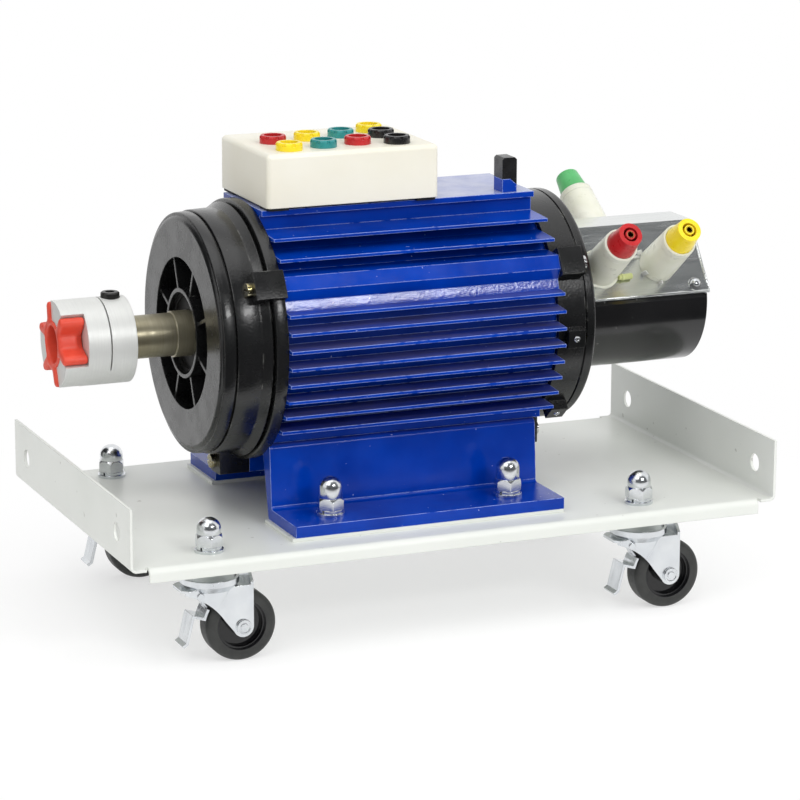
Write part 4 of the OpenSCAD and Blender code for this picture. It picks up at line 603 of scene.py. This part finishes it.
# Tall polished domes on the cap nuts: (x, y, top of the hexagon, height of the dome)
nutDome = {
    "spots": [(x, y, 89.2, 11.4) for x in (-170.5, 150.5) for y in (-104, 104)]
             + [(x, y, 99.7, 15.0) for x in (-75.5, 57.5) for y in (-85, 85)],
    "radius": 8.25, "crown": 7.6, "arcSteps": 8,
    "skirt": [(8.25, 0.3), (7.95, -0.2), (0, -0.2)],
}


def addNutDomes(s):
    mesh = bmesh.new()
    for x, y, seat, height in s["spots"]:
        arc = [math.pi / 2 * (1 - k / s["arcSteps"]) for k in range(s["arcSteps"] + 1)]
        outline = [(s["radius"] * math.cos(a), height - s["crown"] + s["crown"] * math.sin(a)) for a in arc]
        outline[0] = (0, height)
        outline += s["skirt"]
        turnedPart(mesh, [millimetres(*p) for p in outline], millimetres(x, y, seat), (0, 0, 1), steps=48)
    return addPiece(mesh, "nutDomes", "brightNut", "base", 40)


addNutDomes(nutDome)

# Cast fillets between the frame's band and its first lower fin, one on each side
frameFillet = {
    "ends": (-106.4, 96.9), "axisHeight": 203,
    "section": [   # across and up from the shaft's axis
        (79.0, 34.3), (79.0, 27.2), (81.75, 27.2), (81.25, 28.9), (80.65, 30.6), (79.98, 32.4), (79.3, 34.3)],
}


def addFrameFillets(s):
    mesh = bmesh.new()
    for side in (-1, 1):
        points = [millimetres(s["ends"][0], side * y, s["axisHeight"] + z) for y, z in s["section"]]
        end = mesh.faces.new([mesh.verts.new(point) for point in points])
        grown = bmesh.ops.extrude_face_region(mesh, geom=[end], use_keep_orig=True)["geom"]
        moved = [v for v in grown if isinstance(v, bmesh.types.BMVert)]
        bmesh.ops.translate(mesh, verts=moved, vec=millimetres(s["ends"][1] - s["ends"][0], 0, 0))
    return addPiece(mesh, "frameFillets", "blueFillet", "base", 30)


addFrameFillets(frameFillet)

# Raised cast rings round the drive-end shield, the tallest next to the frame
shieldRing = {
    "axisHeight": 203, "inner": 81.2, "steps": 128, "roundShare": 0.3,
    "rings": [   # from x, to x, radius at the start, radius at the end, rounding
        (-150.2, -142.0, 83.4, 83.8, 0.7), (-141.0, -123.2, 84.6, 85.2, 0.6), (-124.0, -117.5, 85.2, 88.6, 0.6),
        (-118.2, -115.2, 84.0, 84.0, 0.2), (-115.6, -106.7, 90.8, 90.8, 1.2)],
}


def addShieldRings(s):
    mesh = bmesh.new()
    for start, end, near, far, soft in s["rings"]:
        part = soft * s["roundShare"]
        outline = [(s["inner"], start), (near - soft, start), (near - part, start + part), (near, start + soft),
                   (far, end - soft), (far - part, end - part), (far - soft, end), (s["inner"], end)]
        outline = [millimetres(*p) for p in outline]
        turnedPart(mesh, outline, millimetres(0, 0, s["axisHeight"]), (1, 0, 0), s["steps"], True)
    return addPiece(mesh, "shieldRings", "blackEnamel", "base", 30)


addShieldRings(shieldRing)

# Small socket screws in the rear shield's four side lugs
lugScrew = {
    "centre": (108, 0, 203), "reach": 89, "angles": [185, 355, 230, 310],
    "outline": [(0, 0.1), (0.9, 0.1), (1.0, 0.7), (1.6, 0.8), (2.1, 0.5), (2.3, 0.1), (2.3, -0.4),
                (1.5, -0.4), (1.5, -3), (0, -3)],
}


def addLugScrews(s):
    mesh = bmesh.new()
    for angle in s["angles"]:
        axis = Vector((0, math.cos(math.radians(angle)), math.sin(math.radians(angle))))
        place = Vector(s["centre"]) + axis * s["reach"]
        turnedPart(mesh, [millimetres(*p) for p in s["outline"]], place / 1000, axis, steps=32)
    return addPiece(mesh, "lugScrews", "brightNut", "base")


addLugScrews(lugScrew)

# Moulded spider: the same rubber star with swollen, rounded legs
spiderMoulding = {"voxel": 0.0006, "smoothing": 26, "smoothFactor": 0.5, "swell": 0.00025}


def addSpider(s):
    mesh = bmesh.new()
    mesh.from_mesh(nodes["coupling_spider"].data)
    bmesh.ops.remove_doubles(mesh, verts=mesh.verts, dist=1e-6)
    data = bpy.data.meshes.new("spiderBlank")
    mesh.to_mesh(data)
    mesh.free()
    blank = bpy.data.objects.new("spiderBlank", data)
    bpy.context.scene.collection.objects.link(blank)
    remesh = blank.modifiers.new("moulding", "REMESH")
    remesh.mode = "VOXEL"
    remesh.voxel_size = s["voxel"]
    ready = blank.evaluated_get(bpy.context.evaluated_depsgraph_get())
    mesh = bmesh.new()
    mesh.from_mesh(ready.to_mesh())
    bpy.data.objects.remove(blank)
    for _ in range(s["smoothing"]):
        bmesh.ops.smooth_vert(mesh, verts=mesh.verts, factor=s["smoothFactor"],
                              use_axis_x=True, use_axis_y=True, use_axis_z=True)
    mesh.normal_update()
    for vert in mesh.verts:
        vert.co += vert.normal * s["swell"]
    piece = addPiece(mesh, "mouldedSpider", "redRubber", "rotor", 180)
    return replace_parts(piece, "coupling_spider")


addSpider(spiderMoulding)
print("pieces added")


# Floor, lamps and surroundings
studio = {
    "floorSize": 12.0, "floorColour": (0.86, 0.86, 0.86, 1), "floorShade": (0.8, 0.8, 0.8, 1),
    "floorCloud": 3, "floorCloudShare": 0.04, "floorRough": 0.9, "floorGlow": 0.22,
    "fadeFrom": 0.2, "fadeTo": 0.5, "fadeLeast": 0.45,   # how the floor turns plain white, from the middle out
    "ambient": 0.66, "aim": (0, 0, 0.15),
    "flags": [   # name, centre, turn about X and Z, width, height, shade
        ("frontFlag", (0, -2.7, 3.4), (90, 0), 9.0, 6.8, (0.115, 0.12, 0.125, 1)),
        ("floorFlag", (0, -1.4, 0.085), (0, 0), 6.0, 2.46, (0.06, 0.06, 0.064, 1)),
        ("sideFlag", (-0.5, 0.34, 0.45), (90, 90), 0.72, 0.9, (0.03, 0.03, 0.032, 1)),
    ],
    "lamps": [   # name, place, width, height, watts, seen in reflections
        ("keyLamp", (-1.5, -1.5, 2.3), 1.5, 1.5, 18, True),
        ("frontLamp", (0.6, -2.15, 1.32), 0.85, 0.24, 13, True),
        ("fillLamp", (1.5, -1.3, 2.2), 1.4, 1.4, 13, False),
        ("topLamp", (-0.1, -0.3, 2.4), 1.8, 1.8, 7, True),
    ],
}


def seenDirectly(tree):
    path = addNode(tree, "ShaderNodeLightPath").outputs
    return math2(tree, "MAXIMUM", math2(tree, "MAXIMUM", path["Is Camera Ray"], path["Is Glossy Ray"]),
                 path["Is Transmission Ray"])


def addGround(name, wide, deep):
    mesh = bmesh.new()
    made = bmesh.ops.create_grid(mesh, x_segments=1, y_segments=1, size=0.5)["verts"]
    bmesh.ops.scale(mesh, vec=(wide, deep, 1), verts=made)
    data = bpy.data.meshes.new(name)
    mesh.to_mesh(data)
    mesh.free()
    ground = bpy.data.objects.new(name, data)
    bpy.context.scene.collection.objects.link(ground)
    return ground


def addFloor(s):
    floor = addGround("floor", s["floorSize"], s["floorSize"])
    mat, tree, shader, where = newFinish("paleFloor")
    cloud = noise(tree, where, s["floorCloud"], 3)
    shade = span(tree, cloud, *finishCommon["noisePart"], 0, s["floorCloudShare"])
    colour = mixColour(tree, shade, s["floorColour"], s["floorShade"])
    direct = seenDirectly(tree)
    glow = math2(tree, "MULTIPLY", direct, s["floorGlow"])
    setShader(tree, shader, Base_Color=colour, Roughness=s["floorRough"], Emission_Color=(1, 1, 1, 1),
              Emission_Strength=glow, Specular_IOR_Level=0.0)
    away = addNode(tree, "ShaderNodeVectorMath", {0: where}, operation="LENGTH").outputs["Value"]
    fade = math2(tree, "MULTIPLY", span(tree, away, s["fadeFrom"], s["fadeTo"], s["fadeLeast"], 1.0), direct)
    white = addNode(tree, "ShaderNodeEmission", {"Color": (1, 1, 1, 1), "Strength": 1.0}).outputs[0]
    both = addNode(tree, "ShaderNodeMixShader", {0: fade, 1: shader.outputs[0], 2: white}).outputs[0]
    tree.links.new(both, tree.nodes["Material Output"].inputs["Surface"])
    wear(floor, mat)


def addFlag(name, centre, turn, width, height, shade):
    # a dark card out of the camera's sight, for the reflections alone
    flag = addGround(name, width, height)
    tilt = Matrix.Rotation(math.radians(turn[1]), 4, "Z") @ Matrix.Rotation(math.radians(turn[0]), 4, "X")
    flag.data.transform(Matrix.Translation(centre) @ tilt)
    mat, tree, shader, _ = newFinish(name + "Card")
    setShader(tree, shader, Base_Color=(0, 0, 0, 1), Emission_Color=shade, Emission_Strength=1.0,
              Specular_IOR_Level=0.0)
    wear(flag, mat)
    flag.visible_camera = False
    flag.visible_diffuse = False
    flag.visible_transmission = False
    flag.visible_shadow = False


def addStudio(s):
    addFloor(s)
    for flag in s["flags"]:
        addFlag(*flag)
    world = bpy.data.worlds.new("studioWorld")
    bpy.context.scene.world = world
    world.use_nodes = True
    tree = world.node_tree
    back = tree.nodes["Background"]
    back.inputs["Color"].default_value = (1, 1, 1, 1)
    strength = span(tree, seenDirectly(tree), 0, 1, s["ambient"], 1.0)
    tree.links.new(strength, back.inputs["Strength"])

    for name, place, width, height, watts, mirrored in s["lamps"]:
        data = bpy.data.lights.new(name, "AREA")
        data.shape = "RECTANGLE"
        data.size = width
        data.size_y = height
        data.energy = watts
        lamp = bpy.data.objects.new(name, data)
        lamp.location = place
        lamp.visible_glossy = mirrored
        lamp.rotation_mode = "QUATERNION"
        lamp.rotation_quaternion = (Vector(s["aim"]) - Vector(place)).to_track_quat("-Z", "Y")
        bpy.context.scene.collection.objects.link(lamp)


addStudio(studio)
bpy.context.scene.view_settings.view_transform = "Standard"
print("studio set")
